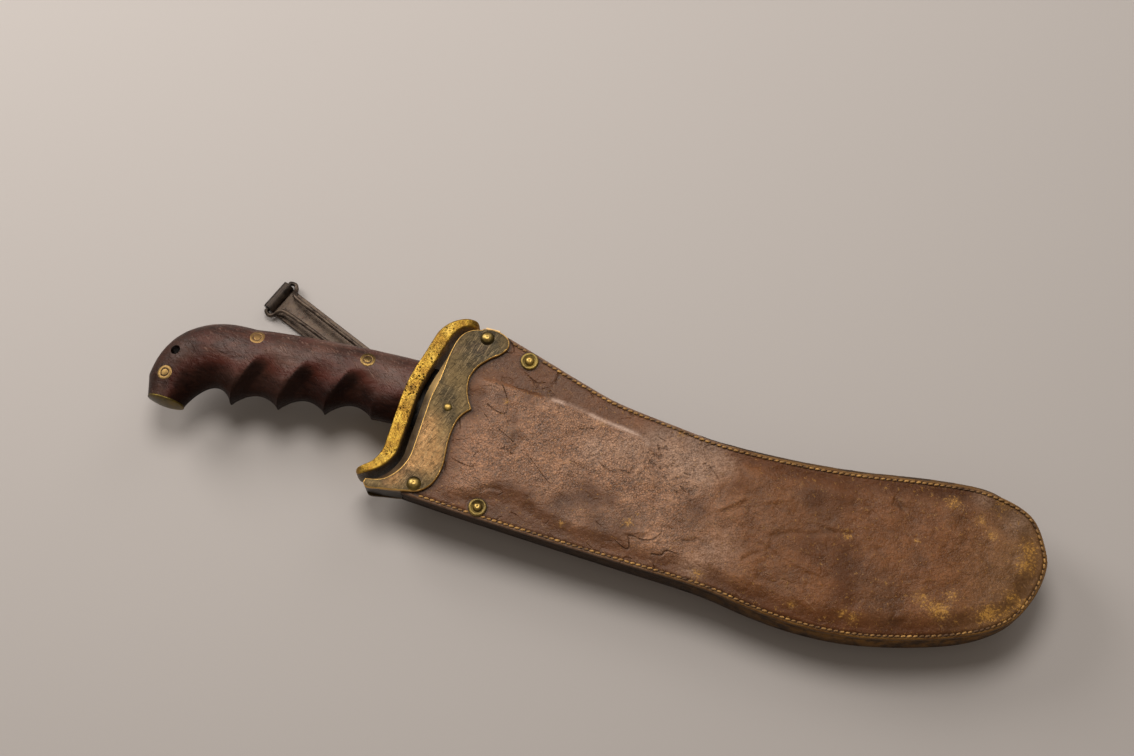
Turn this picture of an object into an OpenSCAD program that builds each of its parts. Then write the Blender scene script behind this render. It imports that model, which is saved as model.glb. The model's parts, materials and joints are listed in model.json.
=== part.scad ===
// Bolo knife seated in its leather scabbard, with a belt hanger that swivels behind the throat.
// X runs along the draw, from the butt of the grip to the nose of the scabbard, Y points to the
// spine side of the blade and Z to the front of the scabbard. Sizes are in millimetres.
// Inside the modules X = 0 is level with the swivel, Y = 0 is the draw line through the throat
// and Z = 0 is the back of the hanger.

/* [Blade] */
// Length from the guard's face to the tip
blade_l = 304; // [280:1:330]
// Thickness along the spine
spine_t = 6; // [4:0.1:6.6]
// Thickness left at the cutting edge
edge_t = 0.6; // [0.3:0.1:1.2]
// Depth of the flat band under the spine
flat_w = 9; // [4:1:20]
// Depth of the root next to the guard
root_w = 31; // [26:1:36]
// Length of the root before the edge starts to drop
root_l = 24; // [10:1:60]
// Greatest depth from the spine to the edge
belly_w = 57; // [46:0.5:57]
// Distance from the guard to the deepest place
belly_at = 212; // [160:1:230]
// Depth of the tip below the spine
tip_drop = 17; // [8:1:30]
// Length of the curved stretch between the spine and the tip
clip_l = 48; // [20:1:70]
// Height of the spine above the draw line
spine_y = 20.5; // [19:0.5:21]

/* [Tang] */
// Thickness of the tang
tang_t = 5; // [3:0.1:5.5]
// Width of the tang
tang_w = 19; // [12:1:20]
// Gap between the tang and the wood around it
tang_gap = 0.1; // [0.05:0.05:0.3]

/* [Guard] */
// Thickness of the guard where it crosses the blade
guard_t = 7.2; // [5:0.1:8]
// Thickness of the guard at its two tips
guard_tip_t = 5.4; // [3:0.1:6]
// Width of the guard across the knife
guard_w = 21.6; // [18:0.2:23]
// Distance from the swivel back to the guard's middle line
guard_back = 20.4; // [19:0.1:24]
// Radius of the lower bend
guard_low_r = 19; // [15:0.5:24]
// Angle through which the lower tip turns towards the grip
guard_low_turn = 66; // [50:1:76]
// Radius of the upper bend
guard_top_r = 15; // [13:0.5:17]
// Angle through which the upper tip turns over the throat
guard_top_turn = 72; // [60:1:76]
// Lean of the straight upper arm
guard_lean = 13; // [8:1:16]
// Length of the straight upper arm
guard_arm = 20.5; // [16:0.5:24]
// Corner radius of the guard's tips, seen along the blade
guard_corner_r = 8; // [3:0.5:9]

/* [Grip] */
// Length of the grip from the guard to the end of the pommel
grip_l = 125.5; // [115:0.5:135]
// Thickness of the grip at its fullest
grip_t = 23; // [18:0.5:23.6]
// Thickness of the grip at the guard
grip_neck_t = 20.4; // [16:0.2:21]
// Height of the grip's upper line at the guard above the draw line
grip_top_y = 22.6; // [20:0.2:25]
// Depth of the grip's lower line at the guard below the draw line
grip_low_y = 11.4; // [9:0.2:13]
// Fall of the grip's upper line between the guard and the pommel
grip_fall = 8.4; // [4:0.2:12]
// Spacing of the ridges between the finger grooves
ridge_step = 23.1; // [21:0.1:24]
// Distance from the guard to the first ridge
ridge_from = 12.6; // [9:0.1:15]
// Fall of each ridge below the one before it
ridge_fall = 4.4; // [2:0.1:5]
// Depth of the finger grooves
groove_d = 5.8; // [3:0.1:7]
// Height of the hooked pommel below the upper line
pommel_h = 48; // [44:0.5:52]
// Diameter of the round foot of the pommel
butt_d = 18.8; // [17:0.2:20]
// Thickness of the domed brass on the pommel's foot, at its rim
butt_rim_t = 0.8; // [0.5:0.1:1.5]
// Rise of the dome above its rim
butt_dome = 1.6; // [0.5:0.1:2]

/* [Pins and lanyard hole] */
// Diameter of the grip pins
pin_d = 3.8; // [3:0.1:4.4]
// Diameter of the brass washers round the pins
rove_d = 7.6; // [6:0.1:8]
// Depth of wood that is left under each washer, from the middle plane
rove_seat = 6.4; // [5:0.1:7]
// Diameter of the lanyard hole
lanyard_d = 5; // [4:0.1:6]
// Gap between a pin or rivet and its hole
pin_gap = 0.02; // [0.01:0.01:0.05]

/* [Scabbard] */
// Thickness of each leather side
leather_t = 3.6; // [2.5:0.1:4]
// Thickness of the leather welt between the sides
welt_t = 7.4; // [7:0.1:8]
// Width of the welt and its seam
seam_w = 7; // [5:0.5:8]
// Gap between the blade and the sides of its passage
blade_gap = 0.8; // [0.4:0.1:1]
// Room between the tip of the blade and the welt
nose_room = 4.8; // [4:0.1:12]
// Height of the hump near the nose above the waist
hump = 15; // [4:0.5:18]
// Height of the shoulder beside the throat above the waist
shoulder = 19.8; // [18:0.2:21]
// Drop of the lower edge at the belly
belly_drop = 7.4; // [3:0.2:9]
// Set-back of the front side's edge from the back side's
front_step = 1.6; // [0.5:0.1:2.4]
// Further set-back along the top of the front side
top_step = 2.1; // [0.5:0.1:2.4]
// Distance of the thread from the front side's edge
thread_in = 1.1; // [0.8:0.1:2.6]
// Width of the thread line
thread_w = 0.9; // [0.6:0.1:1.2]
// Height of the thread above the leather
thread_h = 0.4; // [0.2:0.1:0.8]

/* [Throat] */
// Thickness of the brass throat plates
plate_t = 1.8; // [1.2:0.1:2.2]
// Width of the bevel round the mouth
bevel_w = 3.5; // [2:0.1:4.5]
// Fall of the bevel towards the mouth
bevel_drop = 2.2; // [1:0.1:3]
// Depth of the mouthpiece along the draw
mouth_d = 7; // [5:0.5:9]
// Gap left between the guard and the mouth, as the knife rests
seat_gap = 2.8; // [1:0.1:4]
// Diameter of the domed rivet heads
dome_d = 7.2; // [6:0.1:8]
// Height of the domed rivet heads
dome_h = 2; // [1.2:0.1:2.6]
// Diameter of the rivet shanks
shank_d = 3.2; // [2.4:0.1:3.4]
// Height of the rivets' flat heads at the back
rivet_foot_t = 0.8; // [0.4:0.1:1.2]
// Diameter of the spring rivet's head
spring_head_d = 4.2; // [3.6:0.1:5]
// Height of the spring rivet's head
spring_head_h = 1.3; // [0.8:0.1:1.6]
// Diameter of the spring rivet's shank
spring_shank_d = 2; // [1.4:0.1:3]
// Thickness of the flat spring inside the mouth
spring_t = 0.4; // [0.3:0.05:0.5]
// Width of the flat spring
spring_w = 12; // [8:0.5:14]
// Length of the flat spring
spring_l = 34; // [24:1:50]
// Length of the flat spring behind its rivet
spring_end = 3; // [2:0.5:6]

/* [Leather rivets] */
// Diameter of the rivet washers
washer_d = 9; // [7:0.1:9.4]
// Thickness of the rivet washers
washer_t = 0.9; // [0.6:0.1:1.2]
// Diameter of the rivet heads on the washers
head_d = 5.2; // [4.4:0.1:6]
// Height of the rivet heads
head_h = 1.4; // [0.8:0.1:1.8]

/* [Belt hanger] */
// Thickness of the hanger plate
hanger_t = 1.8; // [1.6:0.1:2.2]
// Width of the hanger plate
hanger_w = 16.2; // [13:0.2:18]
// Distance from the swivel to the middle of the roll
hanger_l = 115.5; // [100:0.5:125]
// Angle of the hanger from the draw line
hanger_angle = 158.6; // [150:0.1:168]
// Depth of the swivel below the draw line
swivel_drop = 1.6; // [0:0.1:3]
// Outer diameter of the rolled end
roll_d = 6; // [5.6:0.1:6.6]
// Length of the roll past each edge of the plate
roll_over = 0.2; // [0:0.1:1]
// Diameter of the belt wire
wire_d = 2.2; // [1.8:0.1:2.4]
// Gap between the plate and the wire, where the belt goes
belt_gap = 6; // [5:0.1:6.2]
// Distance that the wire stands out past the ends of the roll
wire_out = 2.2; // [1.6:0.1:3]
// Diameter of the swivel stud
stud_d = 4.4; // [3.6:0.1:4.6]
// Running gap round the swivel stud
stud_gap = 0.05; // [0.02:0.01:0.1]
// Diameter of the swivel boss on the throat
boss_d = 17; // [14:0.5:20]
// Diameter of the stud's head, let into the back of the hanger
stud_head_d = 9; // [7:0.1:11]
// Thickness of the stud's head
stud_head_t = 0.9; // [0.5:0.1:1.1]
// Depth of the stud's head below the hanger's back
stud_in = 0.15; // [0.05:0.05:0.3]
// Diameter of the flange that holds the stud in the back leather
flange_d = 9; // [7:0.1:12]
// Thickness of that flange
flange_t = 1.4; // [0.8:0.1:2]
// Wall of the spool between the stud and the wire
spool_wall = 0.7; // [0.5:0.1:1.2]
// Reach of the spool's rim past the wire
spool_rim = 1; // [0.5:0.1:2]
// Gap between the wire and the boss above it
wire_gap = 0.3; // [0.2:0.1:0.6]

/* [Hidden] */
$fn = 64;
// Small running-out length, so that a cut passes its surface
past = 1;
// Gap between two pieces of the scabbard that lie side by side
fit = 0.1;

// Levels in Z, from the back of the hanger to the front of the throat
wire_z = hanger_t + belt_gap + wire_d / 2;
boss_z = wire_z + wire_d / 2 + wire_gap;
throat_back_z = 14;
leather_back_z = throat_back_z + plate_t;
welt_z = leather_back_z + leather_t;
mid_z = welt_z + welt_t / 2;
leather_front_z = welt_z + welt_t;
plate_front_z = leather_front_z + leather_t;
throat_front_z = plate_front_z + plate_t;

guard_x = -guard_back;
guard_face_x = guard_x + guard_t / 2;
tip_x = guard_face_x + blade_l;
slot_low_y = spine_y - belly_w - blade_gap;
slot_top_y = spine_y + blade_gap;

// Helpers for outlines
function arc(c, r, a0, a1, n) =
    [for (i = [0:n]) let (a = a0 + (a1 - a0) * i / n) c + r * [cos(a), sin(a)]];
function back_to_front(p) = [for (i = [len(p) - 1:-1:0]) p[i]];
function ease(t) = let (c = max(0, min(1, t))) c * c * (3 - 2 * c);
function unit(v) = v / norm(v);
// Direction of an open line of points at point i
function along(p, i) = unit(p[min(i + 1, len(p) - 1)] - p[max(i - 1, 0)]);
// The line moved to its right by d[i] at each point
function moved_right(p, d) =
    [for (i = [0:len(p) - 1]) let (t = along(p, i)) p[i] + d[i] * [t[1], -t[0]]];
// A smooth line through hand-chosen points
function through(p, i, t) =
    let (a = p[max(i - 1, 0)], b = p[i], c = p[i + 1], d = p[min(i + 2, len(p) - 1)])
    0.5 * (2 * b + (c - a) * t + (2 * a - 5 * b + 4 * c - d) * t * t
           + (3 * b - a - 3 * c + d) * t * t * t);
function smooth(p, n) = concat(
    [for (i = [0:len(p) - 2], k = [0:n - 1]) through(p, i, k / n)], [p[len(p) - 1]]);

// Guard: a middle line made of a lower bend, a slight lean, a straight arm and an upper bend
lean_r = 60;
lean_y = 1;
low_y = -24.5;
bend_steps = 10;
lean_end = [guard_x + lean_r, lean_y] + lean_r * [-cos(guard_lean), sin(guard_lean)];
arm_end = lean_end + guard_arm * [sin(guard_lean), cos(guard_lean)];
top_centre = arm_end + guard_top_r * [cos(guard_lean), -sin(guard_lean)];
guard_line = concat(
    arc([guard_x - guard_low_r, low_y], guard_low_r, -guard_low_turn, 0, bend_steps),
    arc([guard_x + lean_r, lean_y], lean_r, 180, 180 - guard_lean, 4),
    [for (k = [1:3]) lean_end + (arm_end - lean_end) * k / 4],
    arc(top_centre, guard_top_r, 180 - guard_lean, 180 - guard_lean - guard_top_turn, bend_steps));
guard_last = len(guard_line) - 1;
function guard_half(i) = (guard_tip_t + (guard_t - guard_tip_t)
    * min(1, i / bend_steps, (guard_last - i) / bend_steps)) / 2;
function guard_side(sign, grow) =
    moved_right(guard_line, [for (i = [0:guard_last]) sign * (guard_half(i) + grow)]);

// Throat: the mouth follows the guard's face and wraps its upper tip
tip_end = guard_line[guard_last];
tip_turn = -guard_lean - guard_top_turn + 90;
mouth_line = [for (p = concat(guard_side(1, 0),
    arc(tip_end, guard_tip_t / 2, tip_turn - 60, tip_turn + 20, 5))) p + [seat_gap, 0]];
bevel_top_y = 34;
bevel_low_y = -46;
function bevel_at(y) = 0.25 + (bevel_w - 0.25)
    * ease((bevel_top_y - y) / 24) * ease((y - bevel_low_y) / 8);
rim_line = moved_right(mouth_line, [for (p = mouth_line) bevel_at(p[1])]);
rim_last = len(rim_line) - 1;
horn_tip = rim_line[0] + [-0.4, -2.2];
// The plate's free edge: two hollows that meet in a spur, between an upper and a lower lobe
plate_edge = concat(
    [horn_tip, [-18.3, -46.4], [-8.2, -44.9]],
    arc([-7.5, -29.5], 14, -62, 24, 8),
    arc([20.6, -8.4], 15.8, 206, 128, 7),
    arc([21.6, 18.6], 16.8, 236, 120, 9),
    arc([11.8, 41], 6.5, -24, 100, 8));
leather_from_x = -9.6;
horn_top_y = -38.6;
spring_rivet_at = [-0.6, 1.5];

// Scabbard: waist, shoulder, hump, nose and belly, walked from the top of the throat round
waist_y = slot_top_y + seam_w;
base_y = slot_low_y - seam_w - 2.2;
nose_x = tip_x + nose_room + seam_w;
sheath_points = [
    [-12, waist_y + shoulder - 4], [8, waist_y + shoulder - 1.4], [16, waist_y + shoulder - 2.4],
    [26, waist_y + shoulder - 5], [43, waist_y + shoulder - 9.6],
    [60, waist_y + shoulder - 14], [80, waist_y + 1.8],
    [nose_x - 189, waist_y], [nose_x - 162, waist_y - 1], [nose_x - 124, waist_y + 1.2],
    [nose_x - 94, waist_y + 0.34 * hump], [nose_x - 66, waist_y + 0.69 * hump],
    [nose_x - 40, waist_y + 0.9 * hump], [nose_x - 25, waist_y + 0.76 * hump],
    [nose_x - 11, waist_y + 0.24 * hump], [nose_x - 2, waist_y - 11], [nose_x, waist_y - 21],
    [nose_x - 3.4, waist_y - 36], [nose_x - 12, waist_y - 51], [nose_x - 29, waist_y - 63.4],
    [nose_x - 54, waist_y - 73], [nose_x - 82, base_y - belly_drop + 2.2],
    [nose_x - 107, base_y - belly_drop], [nose_x - 130, base_y - belly_drop + 1],
    [nose_x - 158, base_y - 3.2], [100, base_y - 2.4], [60, base_y - 1.6], [20, base_y - 0.6],
    [-12, base_y + 0.6]];
sheath_edge = smooth(sheath_points, 4);
// The front side stands back from the edge, and more so along the top
function front_back(p) = (front_step * ease((p[0] - 20) / 150)
    + top_step * ease((p[0] - 40) / 110) * ease(p[1] / 24 + 0.5))
    * (1 - 0.85 * ease((p[0] - nose_x + 34) / 30));
front_edge = moved_right(sheath_edge, [for (p = sheath_edge) front_back(p)]);
thread_out = moved_right(front_edge, [for (p = front_edge) thread_in]);
thread_inner = moved_right(thread_out, [for (p = thread_out) thread_w]);
cavity_edge = moved_right(sheath_edge, [for (p = sheath_edge) seam_w]);
cavity_from_x = 45;
rivet_at = [[7, waist_y + 13.1], [-4.4, slot_low_y - 2.7]];
leather_rivet_at = [[30.5, waist_y + 8.1], [28.6, slot_low_y - 4.6]];

// Grip: stations from the guard to the pommel, each with an upper and a lower point
grip_x = guard_x - guard_t / 2;
grip_end_x = grip_x - grip_l;
butt_y = grip_top_y - grip_fall - pommel_h;
bow_x = grip_x - 82;
bow_y = grip_top_y - grip_fall;
function ridge(k) = [grip_x - ridge_from - k * ridge_step, -grip_low_y - 1.4 - k * ridge_fall];
butt_back = [grip_end_x + 3.2, butt_y];
butt_fore = butt_back + [butt_d, 0];
function arch(a, b, t, d) = a + (b - a) * t + [0, d * pow(sin(180 * t), 0.8)];
function upper_line(x) = let (t = (grip_x - x) / (grip_x - bow_x))
    [x, grip_top_y - grip_fall * (0.45 * t + 0.55 * t * t)];
bow_h = 38;
function bow(t) = let (a = 90 * min(1, t / 0.86), c = [bow_x, bow_y - bow_h])
    t < 0.86 ? c + [-(bow_x - grip_end_x) * pow(sin(a), 0.88), bow_h * pow(cos(a), 0.88)]
    : [grip_end_x, c[1]] + (butt_back - [grip_end_x, c[1]]) * (t - 0.86) / 0.14;
neck_steps = 3;
groove_steps = 8;
hook_steps = 15;
grip_low = concat([[grip_x + guard_t / 2, -grip_low_y]],
    [for (i = [0:neck_steps - 1])
        [grip_x, -grip_low_y] + (ridge(0) - [grip_x, -grip_low_y]) * i / neck_steps],
    [for (k = [0:2], i = [0:groove_steps - 1])
        arch(ridge(k), ridge(k + 1), i / groove_steps, groove_d)],
    [for (i = [0:hook_steps]) arch(ridge(3), butt_fore, i / hook_steps, 1.65 * groove_d)]);
hook_from = 1 + neck_steps + 3 * groove_steps;
stations = hook_from + hook_steps;
grip_high = [for (i = [0:stations]) i < hook_from
    ? upper_line(grip_x + (bow_x - grip_x) * (grip_x - grip_low[i][0])
                 / (grip_x - grip_low[hook_from][0]))
    : bow((i - hook_from) / hook_steps)];
// Fullness of the section, and its half thickness, at station i
function squareness(i) = i < hook_from ? 0.85 : 0.85 + 0.15 * ease((i - hook_from) / hook_steps);
function grip_half(i) = let (t = i / stations)
    grip_neck_t / 2 + (grip_t - grip_neck_t) / 2 * sin(180 * pow(t, 0.8))
    + (butt_d - grip_neck_t) / 2 * ease((t - 0.8) / 0.2);
ring_steps = 14;
function section(i, side) = [for (k = [0:ring_steps]) let (
    a = 180 * k / ring_steps, q = squareness(i),
    m = (grip_high[i] + grip_low[i]) / 2, h = (grip_high[i] - grip_low[i]) / 2,
    c = sign(cos(a)) * pow(abs(cos(a)), q), s = pow(max(0, sin(a)), q))
    [m[0] + h[0] * c, m[1] + h[1] * c, mid_z + side * grip_half(i) * s]];
pin_at = [[grip_x - 22, 13.2], [grip_x - 78.6, 8.6], [grip_end_x + 9.4, butt_y + 11.6]];
lanyard_at = [grip_end_x + 10.2, butt_y + 24.3];
tang_line = smooth([[guard_face_x + past, 5.5], [grip_x - 30, 4.5], [grip_x - 60, 1.5],
    [grip_x - 88, -3.5], [grip_x - 104, -9], [grip_end_x + 12, butt_y + 18],
    [grip_end_x + 10.8, butt_y + 8]], 5);
tang_last = len(tang_line) - 1;

// Hanger, along its own line from the swivel
swivel_r = hanger_w / 2;
wire_half = stud_d / 2 + stud_gap + spool_wall + wire_d / 2;
roll_half = hanger_w / 2 + roll_over;
roll_z = roll_d / 2;
wire_side = [[6, wire_half, wire_z], [40, wire_half, wire_z],
    [78, wire_half, wire_z], [92, wire_half + 0.2, wire_z - 0.3],
    [hanger_l - 9.6, wire_half + 0.6, wire_z - 2.4],
    [hanger_l - 5.8, wire_half + 2.2, roll_z + 1.8],
    [hanger_l - 4.5, roll_half + 0.6, roll_z + 0.4], [hanger_l - 2.4, roll_half + wire_out, roll_z],
    [hanger_l, roll_half + wire_out - 0.8, roll_z], [hanger_l, roll_half + 0.3, roll_z],
    [hanger_l, roll_half - 1.5, roll_z]];
half_wire = smooth(wire_side, 3);
wire_line = concat(
    [for (a = [0:18:90]) [-wire_half * cos(a), wire_half * sin(a), wire_z]],
    half_wire, [[hanger_l, 0, roll_z]]);
wire_loop = concat(wire_line,
    [for (i = [len(wire_line) - 2:-1:1]) [wire_line[i][0], -wire_line[i][1], wire_line[i][2]]]);

// The part stands on z = 0 with the middle of its box over the origin
part_low_y = min([for (p = sheath_edge) p[1]]);
part_high_y = max(max([for (p = sheath_edge) if (p[0] > 0) p[1]]),
    max([for (p = guard_side(-1, 0)) p[1]]));
module place() { translate([-(grip_end_x + nose_x) / 2, -(part_low_y + part_high_y) / 2, 0])
    children(); }
module layer(z, t) { translate([0, 0, z]) linear_extrude(t) children(); }
module at(p) { translate([p[0], p[1], 0]) children(); }
module rod(d, z0, z1) { translate([0, 0, z0]) cylinder(d = d, h = z1 - z0); }
module rounded(w, h, r) {
    square([w - 2 * r, h], center = true);
    square([w, h - 2 * r], center = true);
    for (x = [-1, 1], y = [-1, 1]) translate([x * (w / 2 - r), y * (h / 2 - r)]) circle(r = r);
}
module dome(d, h, z) {
    r = (d * d / 4 + h * h) / (2 * h);
    translate([0, 0, z]) intersection() {
        translate([0, 0, h - r]) sphere(r = r);
        cylinder(d = d, h = h + past);
    }
}
// Solid through a closed or open row of rings, each a list of points
module skin(rings, closed) {
    n = len(rings[0]);
    m = len(rings);
    last = closed ? m - 1 : m - 2;
    polyhedron([for (r = rings) each r], concat(
        [for (i = [0:last], k = [0:n - 1]) let (j = (i + 1) % m, l = (k + 1) % n)
            [i * n + k, i * n + l, j * n + l]],
        [for (i = [0:last], k = [0:n - 1]) let (j = (i + 1) % m, l = (k + 1) % n)
            [i * n + k, j * n + l, j * n + k]],
        closed ? [] : [[for (k = [n - 1:-1:0]) k], [for (k = [0:n - 1]) (m - 1) * n + k]]));
}

module guard_shape(grow) {
    polygon(concat(guard_side(1, grow), back_to_front(guard_side(-1, grow))));
    for (p = [guard_line[0], guard_line[guard_last]])
        translate(p) circle(d = guard_tip_t + 2 * grow);
}
module tang_shape(grow) {
    polygon(concat(
        moved_right(tang_line, [for (i = [0:tang_last]) tang_w / 2 * tang_taper(i) + grow]),
        back_to_front(moved_right(tang_line,
            [for (i = [0:tang_last]) -tang_w / 2 * tang_taper(i) - grow]))));
}
function tang_taper(i) = 1 - 0.28 * i / tang_last;
module tang_slab(grow) {
    layer(mid_z - tang_t / 2 - grow, tang_t + 2 * grow) tang_shape(grow);
}
module blade_shape() {
    belly = [guard_face_x + belly_at, spine_y - belly_w];
    tip_y = spine_y - tip_drop;
    root = [guard_face_x + root_l, spine_y - root_w];
    polygon(concat(
        [[guard_x, spine_y], [guard_x, root[1]]],
        [for (i = [0:16]) let (t = i / 16)
            [root[0] + (belly[0] - root[0]) * t, root[1] - (belly_w - root_w) * ease(t)]],
        [for (i = [1:16]) let (a = 90 * i / 16)
            [belly[0] + (tip_x - belly[0]) * sin(a), tip_y - (tip_y - belly[1]) * cos(a)]],
        [for (i = [1:8]) let (a = 90 * i / 8)
            [tip_x - clip_l * (1 - cos(a)), tip_y + tip_drop * sin(a)]]));
}
module blade_wedge() {
    low = spine_y - belly_w - past;
    translate([guard_x - past, 0, mid_z]) rotate([90, 0, 90]) linear_extrude(blade_l + 20)
        polygon([[spine_y + past, spine_t / 2], [spine_y - flat_w, spine_t / 2],
            [low, edge_t / 2], [low, -edge_t / 2], [spine_y - flat_w, -spine_t / 2],
            [spine_y + past, -spine_t / 2]]);
}
module blade() {
    color("#6b6a66") place() union() {
        intersection() {
            layer(mid_z - spine_t / 2, spine_t) difference() {
                blade_shape();
                guard_shape(0.05);
            }
            blade_wedge();
        }
        difference() {
            tang_slab(0);
            for (p = pin_at) at(p) rod(pin_d + 2 * pin_gap, 0, throat_front_z);
            at(lanyard_at) rod(lanyard_d, 0, throat_front_z);
        }
    }
}
module guard() {
    low = min([for (q = guard_side(1, 0)) q[1]]);
    high = max([for (q = guard_side(-1, 0)) q[1]]);
    color("#b58b32") place() difference() {
        intersection() {
            layer(mid_z - guard_w / 2, guard_w) guard_shape(0);
            translate([-80, (low + high) / 2, mid_z]) rotate([90, 0, 90]) linear_extrude(120)
                rounded(high - low + guard_tip_t, guard_w, guard_corner_r);
        }
        tang_slab(tang_gap);
    }
}

module grip_half_solid(side) {
    skin([for (i = [0:stations]) side > 0 ? section(i, 1) : back_to_front(section(i, -1))], false);
}
module grip_scale(side) {
    difference() {
        grip_half_solid(side);
        layer(0, mid_z + grip_t) guard_shape(0.05);
        tang_slab(tang_gap);
        for (p = pin_at) at(p) {
            rod(pin_d + 2 * pin_gap, 0, mid_z + grip_t);
            translate([0, 0, mid_z]) mirror([0, 0, side > 0 ? 0 : 1])
                rod(rove_d, rove_seat, grip_t);
        }
        at(lanyard_at) rod(lanyard_d, 0, mid_z + grip_t);
    }
}
module grip_scale_front() { color("#3d2420") place() grip_scale(1); }
module grip_scale_back() { color("#3d2420") place() grip_scale(-1); }
module grip_pins() {
    color("#c79a45") place() intersection() {
        for (p = pin_at) at(p) rod(pin_d, mid_z - grip_t, mid_z + grip_t);
        union() { grip_half_solid(1); grip_half_solid(-1); }
    }
}
module grip_roves() {
    color("#c79a45") place() for (side = [1, -1]) intersection() {
        for (p = pin_at) at(p) translate([0, 0, mid_z]) mirror([0, 0, side > 0 ? 0 : 1])
            difference() {
                rod(rove_d, rove_seat, grip_t);
                rod(pin_d + 2 * pin_gap, 0, grip_t + past);
            }
        grip_half_solid(side);
    }
}
module butt_plate() {
    r = (butt_d * butt_d / 4 + butt_dome * butt_dome) / (2 * butt_dome);
    half_angle = asin(butt_d / 2 / r);
    color("#9a7a2c") place()
        translate([butt_back[0] + butt_d / 2, butt_y, mid_z]) rotate([90, 0, 0])
        rotate_extrude() polygon(concat([[0, 0], [butt_d / 2, 0]],
            arc([0, butt_rim_t + butt_dome - r], r, 90 - half_angle, 90, 6)));
}

module throat_plate_shape() { polygon(concat(back_to_front(rim_line), plate_edge)); }
// Everything on the scabbard's side of the rim line, moved by dx along the draw
module behind_rim(dx) {
    translate([dx, 0]) polygon(concat([[400, -80], horn_tip + [0.8, -30], horn_tip], rim_line,
        [rim_line[rim_last] + [3, 3], [30, 80], [400, 80]]));
}
// The horn is brass all through, up to where the leather starts
module horn_block(grow) { translate([-60, -80]) square([60 + leather_from_x + grow,
    80 + horn_top_y + grow]); }
module leather_zone() { difference() { behind_rim(mouth_d + fit); horn_block(fit); } }
module sheath_shape() { polygon(sheath_edge); }
module front_shape() { polygon(front_edge); }
module cavity_shape() {
    translate([-60, slot_low_y]) square([60 + tip_x - clip_l, slot_top_y - slot_low_y]);
    intersection() {
        polygon(cavity_edge);
        translate([cavity_from_x, -100]) square([400, 200]);
    }
}
module throat_holes() {
    for (p = rivet_at) at(p) rod(shank_d + 2 * pin_gap, 0, throat_front_z + past);
}
module leather_holes() {
    for (p = leather_rivet_at) at(p) rod(shank_d + 2 * pin_gap, 0, throat_front_z + past);
}
module spring_hole() {
    at(spring_rivet_at) rod(spring_shank_d + 2 * pin_gap, mid_z, throat_front_z + past);
}
module at_swivel() { translate([0, -swivel_drop, 0]) children(); }
module stud_hole() { at_swivel() rod(stud_d + 2 * stud_gap, 0, welt_z - fit); }
// Recess for the flange of the stud, in the back leather and the mouthpiece
module flange_hole() { at_swivel() rod(flange_d + 2 * fit, 0, leather_back_z + flange_t + fit); }

module throat_front_plate() {
    color("#8a7a4e") place() difference() {
        layer(plate_front_z, plate_t) throat_plate_shape();
        throat_holes();
        spring_hole();
    }
}
module throat_back_plate() {
    color("#8a7a4e") place() difference() {
        layer(throat_back_z, plate_t) throat_plate_shape();
        throat_holes();
        stud_hole();
    }
}
module mouth_block_shape() {
    intersection() {
        throat_plate_shape();
        difference() {
            behind_rim(0);
            difference() { behind_rim(mouth_d); horn_block(0); }
        }
    }
}
module throat_mouthpiece() {
    half = (welt_t + 2 * leather_t) / 2;
    color("#6f5c36") place() difference() {
        union() {
            layer(leather_back_z, 2 * half) mouth_block_shape();
            skin([for (i = [0:rim_last]) let (r = rim_line[i], m = mouth_line[i], e = 0.4)
                [[r[0] + e, r[1], mid_z + half], [m[0], m[1], mid_z + half - bevel_drop],
                 [m[0], m[1], mid_z - half + bevel_drop], [r[0] + e, r[1], mid_z - half]]],
                false);
        }
        translate([-60, slot_low_y, mid_z - welt_t / 2])
            cube([120, slot_top_y - slot_low_y, welt_t]);
        throat_holes();
        flange_hole();
    }
}
module throat_rivets() {
    color("#7d6a35") place() for (p = rivet_at) at(p) {
        rod(shank_d, throat_back_z, throat_front_z);
        dome(dome_d, dome_h, throat_front_z);
        rod(dome_d, throat_back_z - rivet_foot_t, throat_back_z);
    }
}
module spring_rivet() {
    color("#7d6a35") place() at(spring_rivet_at) {
        rod(spring_shank_d, leather_front_z - spring_t, throat_front_z);
        dome(spring_head_d, spring_head_h, throat_front_z);
    }
}
module blade_spring() {
    color("#a3874a") place() difference() {
        translate([spring_rivet_at[0] - spring_end, spring_rivet_at[1] - spring_w / 2,
            leather_front_z - spring_t]) cube([spring_l, spring_w, spring_t]);
        spring_hole();
    }
}
module leather_front() {
    color("#6a4038") place() difference() {
        layer(leather_front_z, leather_t) intersection() { front_shape(); leather_zone(); }
        throat_holes();
        leather_holes();
        spring_hole();
    }
}
module leather_back() {
    color("#54322c") place() difference() {
        layer(leather_back_z, leather_t) intersection() { sheath_shape(); leather_zone(); }
        throat_holes();
        leather_holes();
        flange_hole();
    }
}
module leather_welt() {
    color("#3f2722") place() difference() {
        layer(welt_z, welt_t) intersection() {
            difference() { sheath_shape(); cavity_shape(); }
            leather_zone();
        }
        throat_holes();
        leather_holes();
    }
}
module seam_thread() {
    color("#a8844a") place() layer(plate_front_z, thread_h) difference() {
        intersection() { polygon(thread_out); translate([42, -100]) square([400, 200]); }
        polygon(thread_inner);
    }
}
module leather_rivets() {
    color("#6b5a30") place() for (p = leather_rivet_at) at(p) {
        rod(shank_d, leather_back_z, plate_front_z + washer_t);
        dome(head_d, head_h, plate_front_z + washer_t);
        rod(head_d, leather_back_z - washer_t, leather_back_z);
    }
}
module leather_rivet_washers() {
    color("#5d4e2a") place() for (p = leather_rivet_at) at(p) difference() {
        rod(washer_d, plate_front_z, plate_front_z + washer_t);
        rod(shank_d + 2 * pin_gap, 0, throat_front_z + past);
    }
}

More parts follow.
